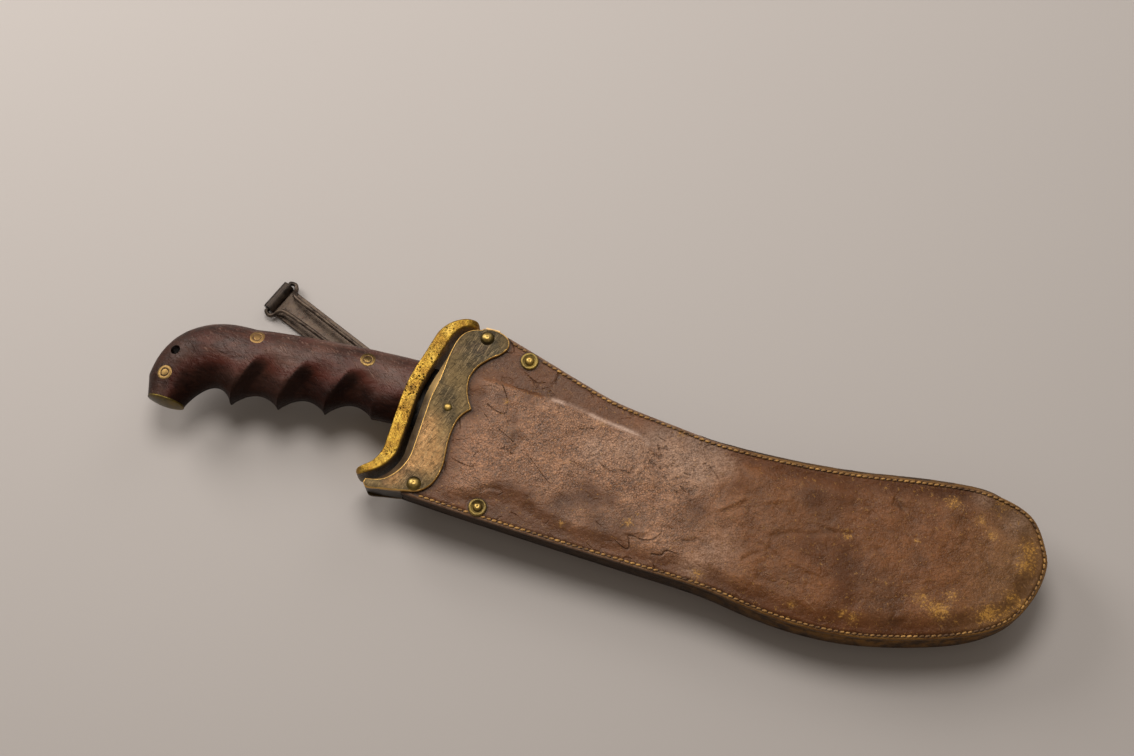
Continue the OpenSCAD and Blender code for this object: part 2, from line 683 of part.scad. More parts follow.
module hanger_line() { at_swivel() rotate([0, 0, hanger_angle]) children(); }
module swivel_boss() {
    color("#77663c") place() difference() {
        at_swivel() rod(boss_d, boss_z, throat_back_z);
        stud_hole();
    }
}
module swivel_stud() {
    color("#5b5348") place() at_swivel() {
        rod(stud_head_d, stud_in, stud_in + stud_head_t);
        rod(stud_d, stud_in, leather_back_z + flange_t);
        rod(flange_d, leather_back_z, leather_back_z + flange_t);
    }
}
module hanger_plate() {
    bore = wire_d + 2 * fit;
    color("#4a423a") place() hanger_line() difference() {
        union() {
            layer(0, hanger_t) {
                circle(r = swivel_r);
                translate([0, -hanger_w / 2]) square([hanger_l, hanger_w]);
            }
            translate([hanger_l, -roll_half, roll_z]) rotate([-90, 0, 0])
                cylinder(d = roll_d, h = 2 * roll_half);
        }
        translate([hanger_l, -roll_half - past, roll_z]) rotate([-90, 0, 0])
            cylinder(d = bore, h = 2 * roll_half + 2 * past);
        rod(stud_d + 2 * stud_gap, -past, hanger_t + past);
        rod(stud_head_d + 2 * fit, -past, stud_in + stud_head_t + fit);
    }
}
module belt_wire() {
    n = len(wire_loop);
    sides = 8;
    color("#50483f") place() hanger_line() skin([for (i = [0:n - 1]) let (
        t = unit(wire_loop[(i + 1) % n] - wire_loop[(i + n - 1) % n]),
        u = unit(cross([0, 0, 1], t)), v = cross(t, u))
        [for (k = [0:sides - 1]) let (a = -360 * k / sides)
            wire_loop[i] + wire_d / 2 * (cos(a) * u + sin(a) * v)]], true);
}
module wire_spool() {
    flange_r = wire_half + wire_d / 2 + spool_rim;
    neck = wire_half - wire_d / 2 - fit;
    color("#5b5348") place() at_swivel() difference() {
        union() {
            rod(2 * flange_r, hanger_t, hanger_t + belt_gap - stud_gap);
            rod(2 * neck, hanger_t, boss_z - wire_gap / 2);
        }
        rod(stud_d + 2 * stud_gap, 0, boss_z);
    }
}

blade();
guard();
grip_scale_front();
grip_scale_back();
grip_pins();
grip_roves();
butt_plate();
throat_front_plate();
throat_back_plate();
throat_mouthpiece();
throat_rivets();
spring_rivet();
blade_spring();
leather_front();
leather_back();
leather_welt();
seam_thread();
leather_rivets();
leather_rivet_washers();
swivel_boss();
swivel_stud();
hanger_plate();
belt_wire();
wire_spool();
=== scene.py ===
"""Looks of a bolo knife seated in its leather scabbard, with its belt hanger.

Lengths inside the shape functions are millimetres in the drawing's own frame: X runs along the
draw, Y to the spine side of the blade, Z to the front, and X = 0 is level with the swivel.
"""
import json
import math

import bmesh
import bpy
import numpy as np
from bpy.props import FloatProperty, FloatVectorProperty, PointerProperty
from mathutils import Matrix, Vector

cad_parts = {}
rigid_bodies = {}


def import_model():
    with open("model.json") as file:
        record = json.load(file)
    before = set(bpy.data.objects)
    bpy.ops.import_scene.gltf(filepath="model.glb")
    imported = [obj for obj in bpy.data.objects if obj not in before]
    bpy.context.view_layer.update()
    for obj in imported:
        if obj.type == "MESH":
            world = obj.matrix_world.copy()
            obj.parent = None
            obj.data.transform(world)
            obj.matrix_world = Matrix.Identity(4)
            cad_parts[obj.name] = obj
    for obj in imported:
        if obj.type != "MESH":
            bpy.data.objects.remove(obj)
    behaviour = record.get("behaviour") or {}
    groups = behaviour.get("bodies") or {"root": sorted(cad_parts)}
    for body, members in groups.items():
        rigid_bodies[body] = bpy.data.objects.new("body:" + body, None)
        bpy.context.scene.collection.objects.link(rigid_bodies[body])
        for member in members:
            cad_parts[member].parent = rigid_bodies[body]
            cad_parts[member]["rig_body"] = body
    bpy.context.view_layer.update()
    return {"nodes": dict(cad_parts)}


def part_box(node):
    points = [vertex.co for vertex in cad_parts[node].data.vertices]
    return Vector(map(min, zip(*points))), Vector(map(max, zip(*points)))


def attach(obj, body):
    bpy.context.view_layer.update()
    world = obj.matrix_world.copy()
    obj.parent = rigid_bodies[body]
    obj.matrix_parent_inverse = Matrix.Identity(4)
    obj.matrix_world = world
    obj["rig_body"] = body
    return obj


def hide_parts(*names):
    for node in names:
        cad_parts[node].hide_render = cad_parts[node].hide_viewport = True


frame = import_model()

bl_info = {
    "name": "Bolo Knife and Scabbard",
    "version": (1, 0, 0),
    "blender": (4, 5, 0),
    "location": "View3D > Sidebar > Bolo",
    "description": "Builds the looks of a bolo knife in its leather scabbard",
    "category": "Add Mesh",
}

MM = 1000.0
# in metres: corners closer than MERGE_M become one, and an edge shorter than EDGE_M goes
MERGE_M, EDGE_M = 2e-6, 1e-7
# flats round the turned parts and rows in the curves of the pommel and of each finger groove
RIVET_STEPS, PIN_STEPS = 48, 56
NECK_STEPS, GROOVE_STEPS, HOOK_STEPS = 14, 36, 72


def node_box(name):
    """Lowest and highest corner of a CAD node, in millimetres."""
    low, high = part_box(name)
    return np.array(low) * MM, np.array(high) * MM


STUD_LOW, STUD_HIGH = node_box("swivel_stud")
# the swivel's axis lies this much below the drawing's Y = 0
SWIVEL_DROP = 1.6
# the drawing's X = 0, Y = 0 in the row's frame
ORIGIN = np.array([(STUD_LOW[0] + STUD_HIGH[0]) / 2,
                   (STUD_LOW[1] + STUD_HIGH[1]) / 2 + SWIVEL_DROP, 0.0])
BACK_Z = node_box("leather_back")[0][2]
WELT_Z = node_box("leather_welt")[0][2]
FRONT_Z = node_box("leather_front")[0][2]
PLATE_Z = node_box("throat_front_plate")[0][2]
THROAT_Z = node_box("throat_front_plate")[1][2]
MID_Z = (WELT_Z + FRONT_Z) / 2


# ---------------------------------------------------------------- sizes and colours
def linear(code):
    """Linear colour of an sRGB hex value: each channel by the sRGB curve."""
    v = np.array([int(code[i:i + 2], 16) for i in (1, 3, 5)]) / 255
    v = np.where(v <= 0.04045, v / 12.92, ((v + 0.055) / 1.055) ** 2.4)
    return (*v.tolist(), 1.0)


def length(name, mm, words):
    """A length property, given here in millimetres and kept in metres."""
    return FloatProperty(name=name, description=words, default=mm / MM, min=0.0,
                         precision=5, unit="LENGTH")


def colour(name, code, words):
    """A colour property that starts at an sRGB hex value."""
    return FloatVectorProperty(name=name, description=words, default=linear(code), size=4,
                               min=0.0, max=1.0, subtype="COLOR")


class BoloKnifeSizes(bpy.types.PropertyGroup):
    guard_t: length("Guard thickness", 7.2, "Thickness of the guard where it crosses the blade")
    guard_tip_t: length("Guard tip thickness", 5.4, "Thickness of the guard at its two tips")
    guard_w: length("Guard width", 21.6, "Width of the guard across the knife")
    guard_round: length("Guard edge radius", 0.9, "Radius of the guard's worn edges")
    grip_t: length("Grip thickness", 23.0, "Thickness of the grip at its fullest")
    neck_t: length("Grip neck thickness", 20.4, "Thickness of the grip at the guard")
    groove_d: length("Finger groove depth", 5.8, "Depth of the finger grooves")
    scoop: FloatProperty(name="Scoop", description="Share of the thickness that a groove takes "
                         "from the side of the grip", default=0.33, min=0.0, max=0.6)
    pin_d: length("Pin diameter", 3.8, "Diameter of the grip pins")
    rove_d: length("Washer diameter", 7.6, "Diameter of the washers round the pins")
    lanyard_d: length("Lanyard hole", 5.0, "Diameter of the lanyard hole")


class BoloScabbardSizes(bpy.types.PropertyGroup):
    swell: length("Swell", 1.5, "Rise of the leather over the blade")
    leather_round: length("Leather edge radius", 1.5, "Radius of the leather's cut edges")
    seam_w: length("Seam width", 7.0, "Width of the welt between the two sides")
    stitch_pitch: length("Stitch pitch", 2.9, "Distance from one stitch to the next")
    stitch_l: length("Stitch length", 2.5, "Length of one stitch")
    stitch_d: length("Thread diameter", 1.05, "Thickness of the sewing thread")
    plate_round: length("Throat edge radius", 0.55, "Radius of the throat plate's rubbed edges")


class BoloHangerSizes(bpy.types.PropertyGroup):
    plate_w: length("Hanger width", 16.2, "Width of the hanger plate")
    plate_t: length("Hanger thickness", 1.8, "Thickness of the hanger plate")
    reach: length("Hanger length", 115.5, "Distance from the swivel to the middle of the roll")
    roll_d: length("Roll diameter", 6.0, "Outer diameter of the rolled end")
    wire_d: length("Wire diameter", 2.2, "Diameter of the belt wire")
    angle: FloatProperty(name="Hanger angle", default=math.radians(158.6), subtype="ANGLE",
                         description="Angle of the hanger from the draw line")


class BoloFinishes(bpy.types.PropertyGroup):
    wood: colour("Walnut", "#48261a", "Handled walnut where it is worn light")
    wood_dark: colour("Walnut, dark", "#170a06", "Walnut darkened by oil and hands")
    brass: colour("Bright brass", "#c49b3e", "Cast brass rubbed bright")
    brass_pit: colour("Pitted brass", "#3b2a10", "Dirt and tarnish in the pits of the brass")
    brass_old: colour("Old brass", "#967a4f", "Sheet brass under a dull olive patina")
    leather: colour("Leather, faded", "#8b5d3d", "Vegetable-tanned leather, faded and dusty")
    leather_rust: colour("Leather, rust", "#6a3d1a", "The same leather where it kept its tan")
    leather_gold: colour("Leather, rubbed", "#b8843c", "Leather rubbed through to its pale tan")
    thread: colour("Thread", "#c4914a", "Waxed linen thread, worn")
    steel: colour("Browned steel", "#51443a", "Browned steel of the hanger")
    blade: colour("Blade steel", "#8d8a83", "Ground steel, stained grey by age")
    floor: colour("Floor", "#b8afa8", "Plain pale floor")


class BoloStage(bpy.types.PropertyGroup):
    key: FloatProperty(name="Key light", description="Power of the large soft light",
                       default=7.5, min=0.0, unit="POWER")
    fill: FloatProperty(name="Fill", description="Strength of the even light all round",
                        default=0.27, min=0.0)
    floor_w: FloatProperty(name="Floor width", description="Width of the floor",
                           default=8.0, min=1.0, unit="LENGTH")


def sizes(group):
    """The group's lengths in millimetres and its other values as they are."""
    owner = getattr(bpy.context.scene, group)
    out = {}
    for key, rna in owner.bl_rna.properties.items():
        if key not in ("rna_type", "name"):
            value = getattr(owner, key)
            out[key] = value * MM if getattr(rna, "unit", "") == "LENGTH" else value
    return out


def tint(name):
    """The colour that the panel holds under that name."""
    return tuple(getattr(bpy.context.scene.bolo_finishes, name))


# ---------------------------------------------------------------- lines and surfaces
def ease(t):
    """0 to 1 with level ends: 3t^2 - 2t^3."""
    c = np.clip(t, 0.0, 1.0)
    return c * c * (3 - 2 * c)


def through(points, steps):
    """Catmull-Rom line through given points: each span is the cubic between two points whose end
    slopes are half the chord of their neighbours."""
    p = np.asarray(points, float)
    a = np.vstack([p[:1], p, p[-1:]])
    t = np.linspace(0, 1, steps, endpoint=False)[None, :, None]
    b0, b1, b2, b3 = (a[i:len(a) - 3 + i][:, None, :] for i in range(4))
    spans = 0.5 * (2 * b1 + (b2 - b0) * t + (2 * b0 - 5 * b1 + 4 * b2 - b3) * t ** 2
                   + (3 * b1 - b0 - 3 * b2 + b3) * t ** 3)
    return np.vstack([spans.reshape(-1, p.shape[1]), p[-1:]])


def direction(line):
    """Unit vectors along a line, from the neighbours of each point."""
    d = np.empty_like(line)
    d[1:-1] = line[2:] - line[:-2]
    d[0], d[-1] = line[1] - line[0], line[-1] - line[-2]
    return d / np.linalg.norm(d, axis=1, keepdims=True)


def beside(line, distance):
    """A flat line moved to its right by a distance, which may differ from point to point."""
    d = direction(line)
    return line + np.asarray(distance, float).reshape(-1, 1) * np.stack([d[:, 1], -d[:, 0]], 1)


def arc(centre, radius, a0, a1, steps):
    """Points on a circle from angle a0 to a1, in degrees."""
    a = np.radians(np.linspace(a0, a1, steps + 1))
    return np.asarray(centre, float) + radius * np.stack([np.cos(a), np.sin(a)], 1)


def run_of(line):
    """Distance along a line at each of its points."""
    return np.concatenate([[0], np.cumsum(np.linalg.norm(np.diff(line, axis=0), axis=1))])


def at_share(line, share):
    """Points of a line at given shares of its whole length."""
    s = run_of(line)
    return np.stack([np.interp(share * s[-1], s, line[:, k]) for k in range(line.shape[1])], 1)


def distance_to(x, y, line):
    """Least distance from each point to a flat line: the nearest point of every segment is found
    by projection, and the smallest of the distances is kept."""
    p = np.stack([x.ravel(), y.ravel()], 1)
    a, v = line[:-1], np.diff(line, axis=0)
    vv = np.maximum((v ** 2).sum(1), 1e-12)
    parts = []
    for block in np.array_split(p, max(1, len(p) // 6000)):
        w = block[:, None, :] - a[None]
        t = np.clip((w * v).sum(2) / vv, 0, 1)
        parts.append(np.sqrt((((w - t[..., None] * v) ** 2).sum(2)).min(1)))
    return np.concatenate(parts).reshape(x.shape)


CLOUD_CELLS = 96


def cloud(x, y, cell, seed):
    """Smooth noise from -1 to 1: seeded values on a square lattice, eased between its corners."""
    table = np.random.default_rng(seed).uniform(-1, 1, (CLOUD_CELLS + 1, CLOUD_CELLS + 1))
    u, v = x / cell + 40, y / cell + 40
    i, j = np.floor(u).astype(int), np.floor(v).astype(int)
    f, g = ease(u - i), ease(v - j)
    i, j = i % CLOUD_CELLS, j % CLOUD_CELLS
    return ((table[i, j] * (1 - f) + table[i + 1, j] * f) * (1 - g)
            + (table[i, j + 1] * (1 - f) + table[i + 1, j + 1] * f) * g)


def graded(count, first, span):
    """Shares from 0 to 1 that crowd towards both ends: the step grows from first to an even one
    by the rule of a hyperbolic sine, given the span in millimetres."""
    t = np.linspace(-1, 1, count)
    even = 2 / (count - 1)
    k = 1.0
    for _ in range(40):
        k *= 1.06
        if (math.tanh(k) - math.tanh(k * (1 - even))) / math.tanh(k) / 2 * span < first:
            break
    return (np.tanh(k * t) / math.tanh(k) + 1) / 2


def grid_faces(n, m, close_n=False, close_m=False):
    """Quads of n rows of m points each, joined row to row."""
    i = np.arange(n if close_n else n - 1)[:, None]
    j = np.arange(m if close_m else m - 1)[None, :]
    a, b = i * m + j, i * m + (j + 1) % m
    c, d = (i + 1) % n * m + (j + 1) % m, (i + 1) % n * m + j
    return np.stack([a, b, c, d], -1).reshape(-1, 4)


def piece(name, points, faces, materials, body, stands_for=(), tags=None, seconds=(),
          smooth_angle=40.0):
    """Makes one piece from points in the drawing's frame and rows of faces, merges its doubles,
    turns its faces outwards and hangs it on its body. tags are values per point that materials
    read, and seconds are the rows of faces that take the second material."""
    mesh = bpy.data.meshes.new(name)
    xyz = (np.asarray(points, float).reshape(-1, 3) + ORIGIN) / MM
    rows = [np.asarray(f) for f in faces if len(f)]
    loops = np.concatenate([r.ravel() for r in rows])
    sides = np.concatenate([np.full(len(r), r.shape[1]) for r in rows])
    mesh.vertices.add(len(xyz))
    mesh.vertices.foreach_set("co", xyz.astype(np.float32).ravel())
    mesh.loops.add(len(loops))
    mesh.loops.foreach_set("vertex_index", loops.astype(np.int32))
    mesh.polygons.add(len(sides))
    mesh.polygons.foreach_set("loop_start",
                              np.concatenate([[0], np.cumsum(sides)[:-1]]).astype(np.int32))
    which = np.concatenate([np.full(len(r), 1 if k in seconds else 0)
                            for k, r in enumerate(rows)])
    mesh.polygons.foreach_set("material_index", which.astype(np.int32))
    for key, values in (tags or {}).items():
        layer = mesh.attributes.new(key, "FLOAT", "POINT")
        layer.data.foreach_set("value", np.asarray(values, np.float32).ravel())
    mesh.update(calc_edges=True)
    for material in materials:
        mesh.materials.append(material)
    made = bmesh.new()
    made.from_mesh(mesh)
    bmesh.ops.remove_doubles(made, verts=made.verts, dist=MERGE_M)
    bmesh.ops.dissolve_degenerate(made, edges=made.edges, dist=EDGE_M)
    bmesh.ops.recalc_face_normals(made, faces=made.faces)
    made.to_mesh(mesh)
    made.free()
    return settle(bpy.data.objects.new(name, mesh), body, stands_for, smooth_angle)


def settle(obj, body, stands_for, smooth_angle=40.0):
    """Smooths a piece's faces up to an angle and hangs it on its body."""
    mesh = obj.data
    mesh.polygons.foreach_set("use_smooth", np.ones(len(mesh.polygons), bool))
    mesh.set_sharp_from_angle(angle=math.radians(smooth_angle))
    bpy.context.scene.collection.objects.link(obj)
    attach(obj, body)
    if stands_for:
        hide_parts(*stands_for)
    return obj


def softened(node, material, width=0.25, smooth_angle=35.0):
    """A merged copy of a CAD node whose sharp edges get a small round."""
    source = frame["nodes"][node]
    made = bmesh.new()
    made.from_mesh(source.data)
    bmesh.ops.remove_doubles(made, verts=made.verts, dist=MERGE_M)
    bmesh.ops.dissolve_limit(made, angle_limit=math.radians(0.5), verts=made.verts,
                             edges=made.edges)
    sharp = [e for e in made.edges
             if len(e.link_faces) == 2 and e.calc_face_angle(0) > math.radians(smooth_angle)]
    if width:
        bmesh.ops.bevel(made, geom=sharp, offset=width / MM, segments=3, profile=0.5,
                        affect="EDGES", clamp_overlap=True)
    bmesh.ops.triangulate(made, faces=[f for f in made.faces if len(f.verts) > 4])
    mesh = bpy.data.meshes.new(node + "_finish")
    made.to_mesh(mesh)
    made.free()
    mesh.materials.clear()
    mesh.materials.append(material)
    mesh.polygons.foreach_set("material_index", np.zeros(len(mesh.polygons), np.int32))
    return settle(bpy.data.objects.new(node + "_finish", mesh), source["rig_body"], (node,),
                  smooth_angle)


def bored(obj, places, diameter, z0, z1):
    """Cuts round holes through a piece, and leaves the result as its mesh."""
    for place in places:
        tool = bmesh.new()
        bmesh.ops.create_cone(tool, cap_ends=True, segments=40, radius1=diameter / 2 / MM,
                              radius2=diameter / 2 / MM, depth=(z1 - z0) / MM)
        mesh = bpy.data.meshes.new("bore")
        tool.to_mesh(mesh)
        tool.free()
        cutter = bpy.data.objects.new("bore", mesh)
        middle = (np.array([place[0], place[1], (z0 + z1) / 2]) + ORIGIN) / MM
        mesh.transform(Matrix.Translation(middle.tolist()))
        bpy.context.scene.collection.objects.link(cutter)
        cut = obj.modifiers.new("bore", "BOOLEAN")
        cut.operation, cut.solver, cut.object = "DIFFERENCE", "EXACT", cutter
        bpy.context.view_layer.update()
        done = bpy.data.meshes.new_from_object(
            obj.evaluated_get(bpy.context.evaluated_depsgraph_get()))
        obj.modifiers.remove(cut)
        old, obj.data = obj.data, done
        bpy.data.meshes.remove(old)
        bpy.data.objects.remove(cutter)
    return obj


CORNER_STEPS = 5


def rounded_loop(side_steps, up_steps):
    """Loop of a rounded rectangle as four rows: shares of the two flats and of the two corner
    radii. A point is then flat share x (half side - radius) + corner share x radius."""
    rows = []
    turns = ((1, 1), (-1, 1), (-1, -1), (1, -1))
    for k, (a, b) in enumerate(turns):
        w = np.radians(90 * k + np.linspace(0, 90, CORNER_STEPS + 1))
        rows += [np.stack([np.full(w.shape, a), np.full(w.shape, b), np.cos(w), np.sin(w)], 1)]
        a2, b2 = turns[(k + 1) % 4]
        steps = side_steps if a2 != a else up_steps
        f = (np.arange(1, steps) / steps)[:, None]
        here = np.array([a, b, np.cos(w[-1]), np.sin(w[-1])])
        there = np.array([a2, b2, np.cos(w[-1]), np.sin(w[-1])])
        rows += [here + (there - here) * f]
    return np.vstack(rows)


def carried(path, side, up, half_side, half_up, radius, side_steps=8, up_steps=3):
    """Points and faces of a rounded rectangle carried along a path: at each point of the path the
    loop lies in the plane of the side and up vectors, with its own half sizes there. The third
    result is each point's share of the half size along the up vector."""
    n = len(path)
    loop = rounded_loop(side_steps, up_steps)
    hs, hu = (np.broadcast_to(v, n)[:, None] for v in (half_side, half_up))
    r = np.minimum(radius, np.minimum(hs, hu) * 0.98)
    s = loop[:, 0] * (hs - r) + loop[:, 2] * r
    u = loop[:, 1] * (hu - r) + loop[:, 3] * r
    side, up = (np.broadcast_to(v, (n, 3))[:, None, :] for v in (side, up))
    points = path[:, None, :] + side * s[..., None] + up * u[..., None]
    faces = [grid_faces(n, len(loop), close_m=True)]
    points, ends = capped(points.reshape(-1, 3), n, len(loop))
    return points, faces + [ends], np.append((u / np.maximum(hu, 1e-9)).ravel(), (0, 0))


def capped(points, n, m):
    """Closes both ends of a tube of n rings of m points with a fan round each ring's middle."""
    first, last = points[:m], points[-m:]
    k = np.arange(m)
    a = np.stack([np.full(m, len(points)), (k + 1) % m, k], 1)
    b = np.stack([np.full(m, len(points) + 1), (n - 1) * m + k, (n - 1) * m + (k + 1) % m], 1)
    return np.vstack([points, first.mean(0), last.mean(0)]), np.vstack([a, b])


def turned(profile, centre, steps=RIVET_STEPS):
    """Points of a profile of (radius, height) turned about an upright axis."""
    p = np.asarray(profile, float)
    a = np.linspace(0, 2 * np.pi, steps, endpoint=False)
    r, z = p[:, 0][:, None], p[:, 1][:, None] + np.zeros(steps)
    return np.stack([centre[0] + r * np.cos(a), centre[1] + r * np.sin(a), z], -1).reshape(-1, 3)


def patch(bottom, top, left, right, u, v):
    """Coons patch: the two straight blends between opposite edges are added, and the bilinear
    blend of the four corners is taken off. Gives x and y for each pair of u and v."""
    b, t = at_share(bottom, u)[:, None], at_share(top, u)[:, None]
    lf, rt = at_share(left, v)[None], at_share(right, v)[None]
    u, v = u[:, None, None], v[None, :, None]
    corners = ((1 - u) * (1 - v) * b[:1] + u * (1 - v) * b[-1:]
               + (1 - u) * v * t[:1] + u * v * t[-1:])
    p = (1 - v) * b + v * t + (1 - u) * lf + u * rt - corners
    return p[..., 0], p[..., 1]


def slab(x, y, outline, z_face, z_other, radius, height, wall_rows):
    """Points, faces and edge distance of a plate whose face follows a patch: the face lies at
    z_face plus its height, rolls over by a quarter round at the outline, and a wall of a few
    rows with their own set-back joins it to a flat back."""
    n, m = x.shape
    side = 1 if z_face > z_other else -1
    d = distance_to(x, y, outline)
    border = np.concatenate([np.arange(n) * m, (n - 1) * m + np.arange(1, m),
                             (np.arange(n - 2, -1, -1) * m + m - 1), np.arange(m - 2, 0, -1)])
    flat = d.ravel()
    flat[border] = 0.0
    d = flat.reshape(n, m)
    roll = radius - np.sqrt(np.maximum(radius ** 2 - np.maximum(radius - d, 0) ** 2, 0))
    z = z_face + side * (height - roll)
    face = np.stack([x, y, z], -1).reshape(-1, 3)
    ring = face[border]
    away = direction(np.vstack([ring[-1:], ring, ring[:1]])[:, :2])[1:-1]
    inward = np.stack([-away[:, 1], away[:, 0]], 1)
    walls = []
    for share, back in wall_rows:
        row = ring.copy()
        row[:, :2] += inward * back
        row[:, 2] = ring[:, 2] + (z_other - ring[:, 2]) * share
        walls.append(row)
    count, edge = len(face), len(border)
    points = np.vstack([face] + walls)
    ids = np.vstack([border] + [count + k * edge + np.arange(edge) for k in range(len(walls))])
    rolled = np.roll(ids, -1, axis=1)
    wall = np.stack([ids[:-1], rolled[:-1], rolled[1:], ids[1:]], -1).reshape(-1, 4)
    back = ids[-1][None, :]
    distance = np.concatenate([flat, np.zeros(edge * len(walls))])
    return points, [grid_faces(n, m), wall, back], distance


# ---------------------------------------------------------------- the object's own lines
# the blade's spine, its greatest width, its clearance in the leather and the seam's width
SPINE_Y, BELLY_W, GAP, SEAM = 20.5, 57.0, 0.8, 7.0
WAIST_Y = SPINE_Y + GAP + SEAM
BASE_Y = SPINE_Y - BELLY_W - GAP - SEAM - 2.2
NOSE_X = 299.0
# how far the outline rises at its hump and its shoulder, and drops at its belly
HUMP, SHOULDER, BELLY_DROP = 15.0, 19.8, 7.4
# the guard: where it crosses, the radii of its parts, and their turns and lean in degrees
GUARD_X, GUARD_R_LOW, GUARD_R_TOP = -20.4, 19.0, 15.0
GUARD_LOW_TURN, GUARD_TOP_TURN, GUARD_LEAN = 66.0, 72.0, 13.0
LEAN_R, LEAN_Y, LOW_Y, ARM = 60.0, 1.0, -24.5, 20.5
# gap from guard to throat, the mouthpiece's bevel and depth, and the thread's set-back
SEAT_GAP, BEVEL_W, MOUTH_D, THREAD_IN = 2.8, 3.5, 7.0, 1.7
THROAT_RIVETS = ((7, WAIST_Y + 13.1), (-4.4, BASE_Y + SEAM + 2.2 - 2.7))
LEATHER_RIVETS = ((30.5, WAIST_Y + 8.1), (28.6, BASE_Y + SEAM + 2.2 - 4.6))
SPRING_RIVET = (-0.6, 1.5)


def sheath_edge(steps=24):
    """Outline of the scabbard from the top of the throat round the nose to its bottom."""
    n, w, b = NOSE_X, WAIST_Y, BASE_Y
    return through([
        (-12, w + SHOULDER - 4), (8, w + SHOULDER - 1.4), (16, w + SHOULDER - 2.4),
        (26, w + SHOULDER - 5), (43, w + SHOULDER - 9.6), (60, w + SHOULDER - 14), (80, w + 1.8),
        (n - 189, w), (n - 162, w - 1), (n - 124, w + 1.2), (n - 94, w + 0.34 * HUMP),
        (n - 66, w + 0.69 * HUMP), (n - 40, w + 0.9 * HUMP), (n - 25, w + 0.76 * HUMP),
        (n - 11, w + 0.24 * HUMP), (n - 2, w - 11), (n, w - 21), (n - 3.4, w - 36),
        (n - 12, w - 51), (n - 29, w - 63.4), (n - 54, w - 73), (n - 82, b - BELLY_DROP + 2.2),
        (n - 107, b - BELLY_DROP), (n - 130, b - BELLY_DROP + 1), (n - 158, b - 3.2),
        (100, b - 2.4), (60, b - 1.6), (20, b - 0.6), (-12, b + 0.6)], steps)


def front_edge(edge):
    """Outline of the front side: set back from the back side's, more so along the top, and not
    round the nose."""
    x, y = edge.T
    back = 1.6 * ease((x - 20) / 150) + 2.1 * ease((x - 40) / 110) * ease(y / 24 + 0.5)
    return beside(edge, back * (1 - 0.85 * ease((x - NOSE_X + 34) / 30)))


# share of its thickness that the guard loses at each tip
TIP_SLIM = 0.28


def tip_share(line):
    """How far a place lies into one of the guard's tips, over the last 20 mm of the line."""
    s = run_of(line)
    return ease(1 - np.minimum(s, s[-1] - s) / 20)


def guard_line():
    """Middle line of the guard: lower bend, slight lean, straight arm and upper bend. Towards
    each tip it moves up by as much as the guard gets slimmer below."""
    start = np.array([GUARD_X + LEAN_R, LEAN_Y])
    lean = np.radians(GUARD_LEAN)
    lean_end = start + LEAN_R * np.array([-math.cos(lean), math.sin(lean)])
    arm_end = lean_end + ARM * np.array([math.sin(lean), math.cos(lean)])
    top = arm_end + GUARD_R_TOP * np.array([math.cos(lean), -math.sin(lean)])
    line = np.vstack([
        arc((GUARD_X - GUARD_R_LOW, LOW_Y), GUARD_R_LOW, -GUARD_LOW_TURN, 0, 40),
        np.linspace((GUARD_X, LOW_Y), (GUARD_X, LEAN_Y), 26)[1:-1],
        arc(start, LEAN_R, 180, 180 - GUARD_LEAN, 12),
        np.linspace(lean_end, arm_end, 22)[1:-1],
        arc(top, GUARD_R_TOP, 180 - GUARD_LEAN, 180 - GUARD_LEAN - GUARD_TOP_TURN, 40)])
    return beside(line, -2.7 * TIP_SLIM * tip_share(line))


def guard_half(line, sizes_):
    """Half thickness of the guard: full in the middle and less over each bend."""
    s = run_of(line)
    low = s / (GUARD_R_LOW * math.radians(GUARD_LOW_TURN))
    high = (s[-1] - s) / (GUARD_R_TOP * math.radians(GUARD_TOP_TURN))
    t = np.minimum(1, np.minimum(low, high))
    thick = sizes_["guard_tip_t"] + (sizes_["guard_t"] - sizes_["guard_tip_t"]) * t
    return thick / 2 * (1 - TIP_SLIM * tip_share(line))


def rim_line(sizes_):
    """Edge of the throat plate that faces the guard: the guard's face, moved by the gap and by
    the bevel's width, which runs out at both ends."""
    line = guard_line()
    face = beside(line, guard_half(line, sizes_))
    turn = -GUARD_LEAN - GUARD_TOP_TURN + 90
    tip = guard_half(line, sizes_)[-1]
    mouth = np.vstack([face, arc(line[-1], tip, turn - 60, turn - 30, 4)])
    mouth = mouth + np.array([SEAT_GAP, 0])
    y = mouth[:, 1]
    return beside(mouth, 0.25 + (BEVEL_W - 0.25) * ease((34 - y) / 24) * ease((y + 46) / 8))


def plate_free_edge(rim):
    """The throat plate's free edge, through given points: the horn and the lower lobe up to the
    spur, then the long hollow and the upper lobe."""
    low = through([rim[0] + (-0.4, -2.2), (-26, -48.3), (-20, -47.2), (-14, -46.1), (-8.2, -44.8),
                   (-1.6, -43.0), (3.3, -38.6), (5.7, -32.4), (6.2, -26.2), (5.5, -20.2),
                   (4.9, -14), (5.0, -8), (6.0, -2.7), (8.0, 1.1), (10.7, 4.1)], 8)
    high = through([(10.7, 4.1), (7.7, 8.6), (5.6, 13.6), (4.9, 19.4), (6.8, 25.6), (11.4, 31.4),
                    (15.6, 35.0), (18.2, 38.7), (18.3, 42.0), (16.3, 44.7), (12.4, 46.3),
                    (8.4, 46.6), (5.9, 46.2), (4.4, 45.8)], 8)
    return np.vstack([low, high[1:]])


def fold_edge(x):
    """Distance from the seam's edge to where the leather starts to rise, at the lower side: it
    grows beside the lower rivet, where the leather is folded over the blade."""
    return 4.5 + 7.5 * np.exp(-((x - 42) / 17) ** 2)


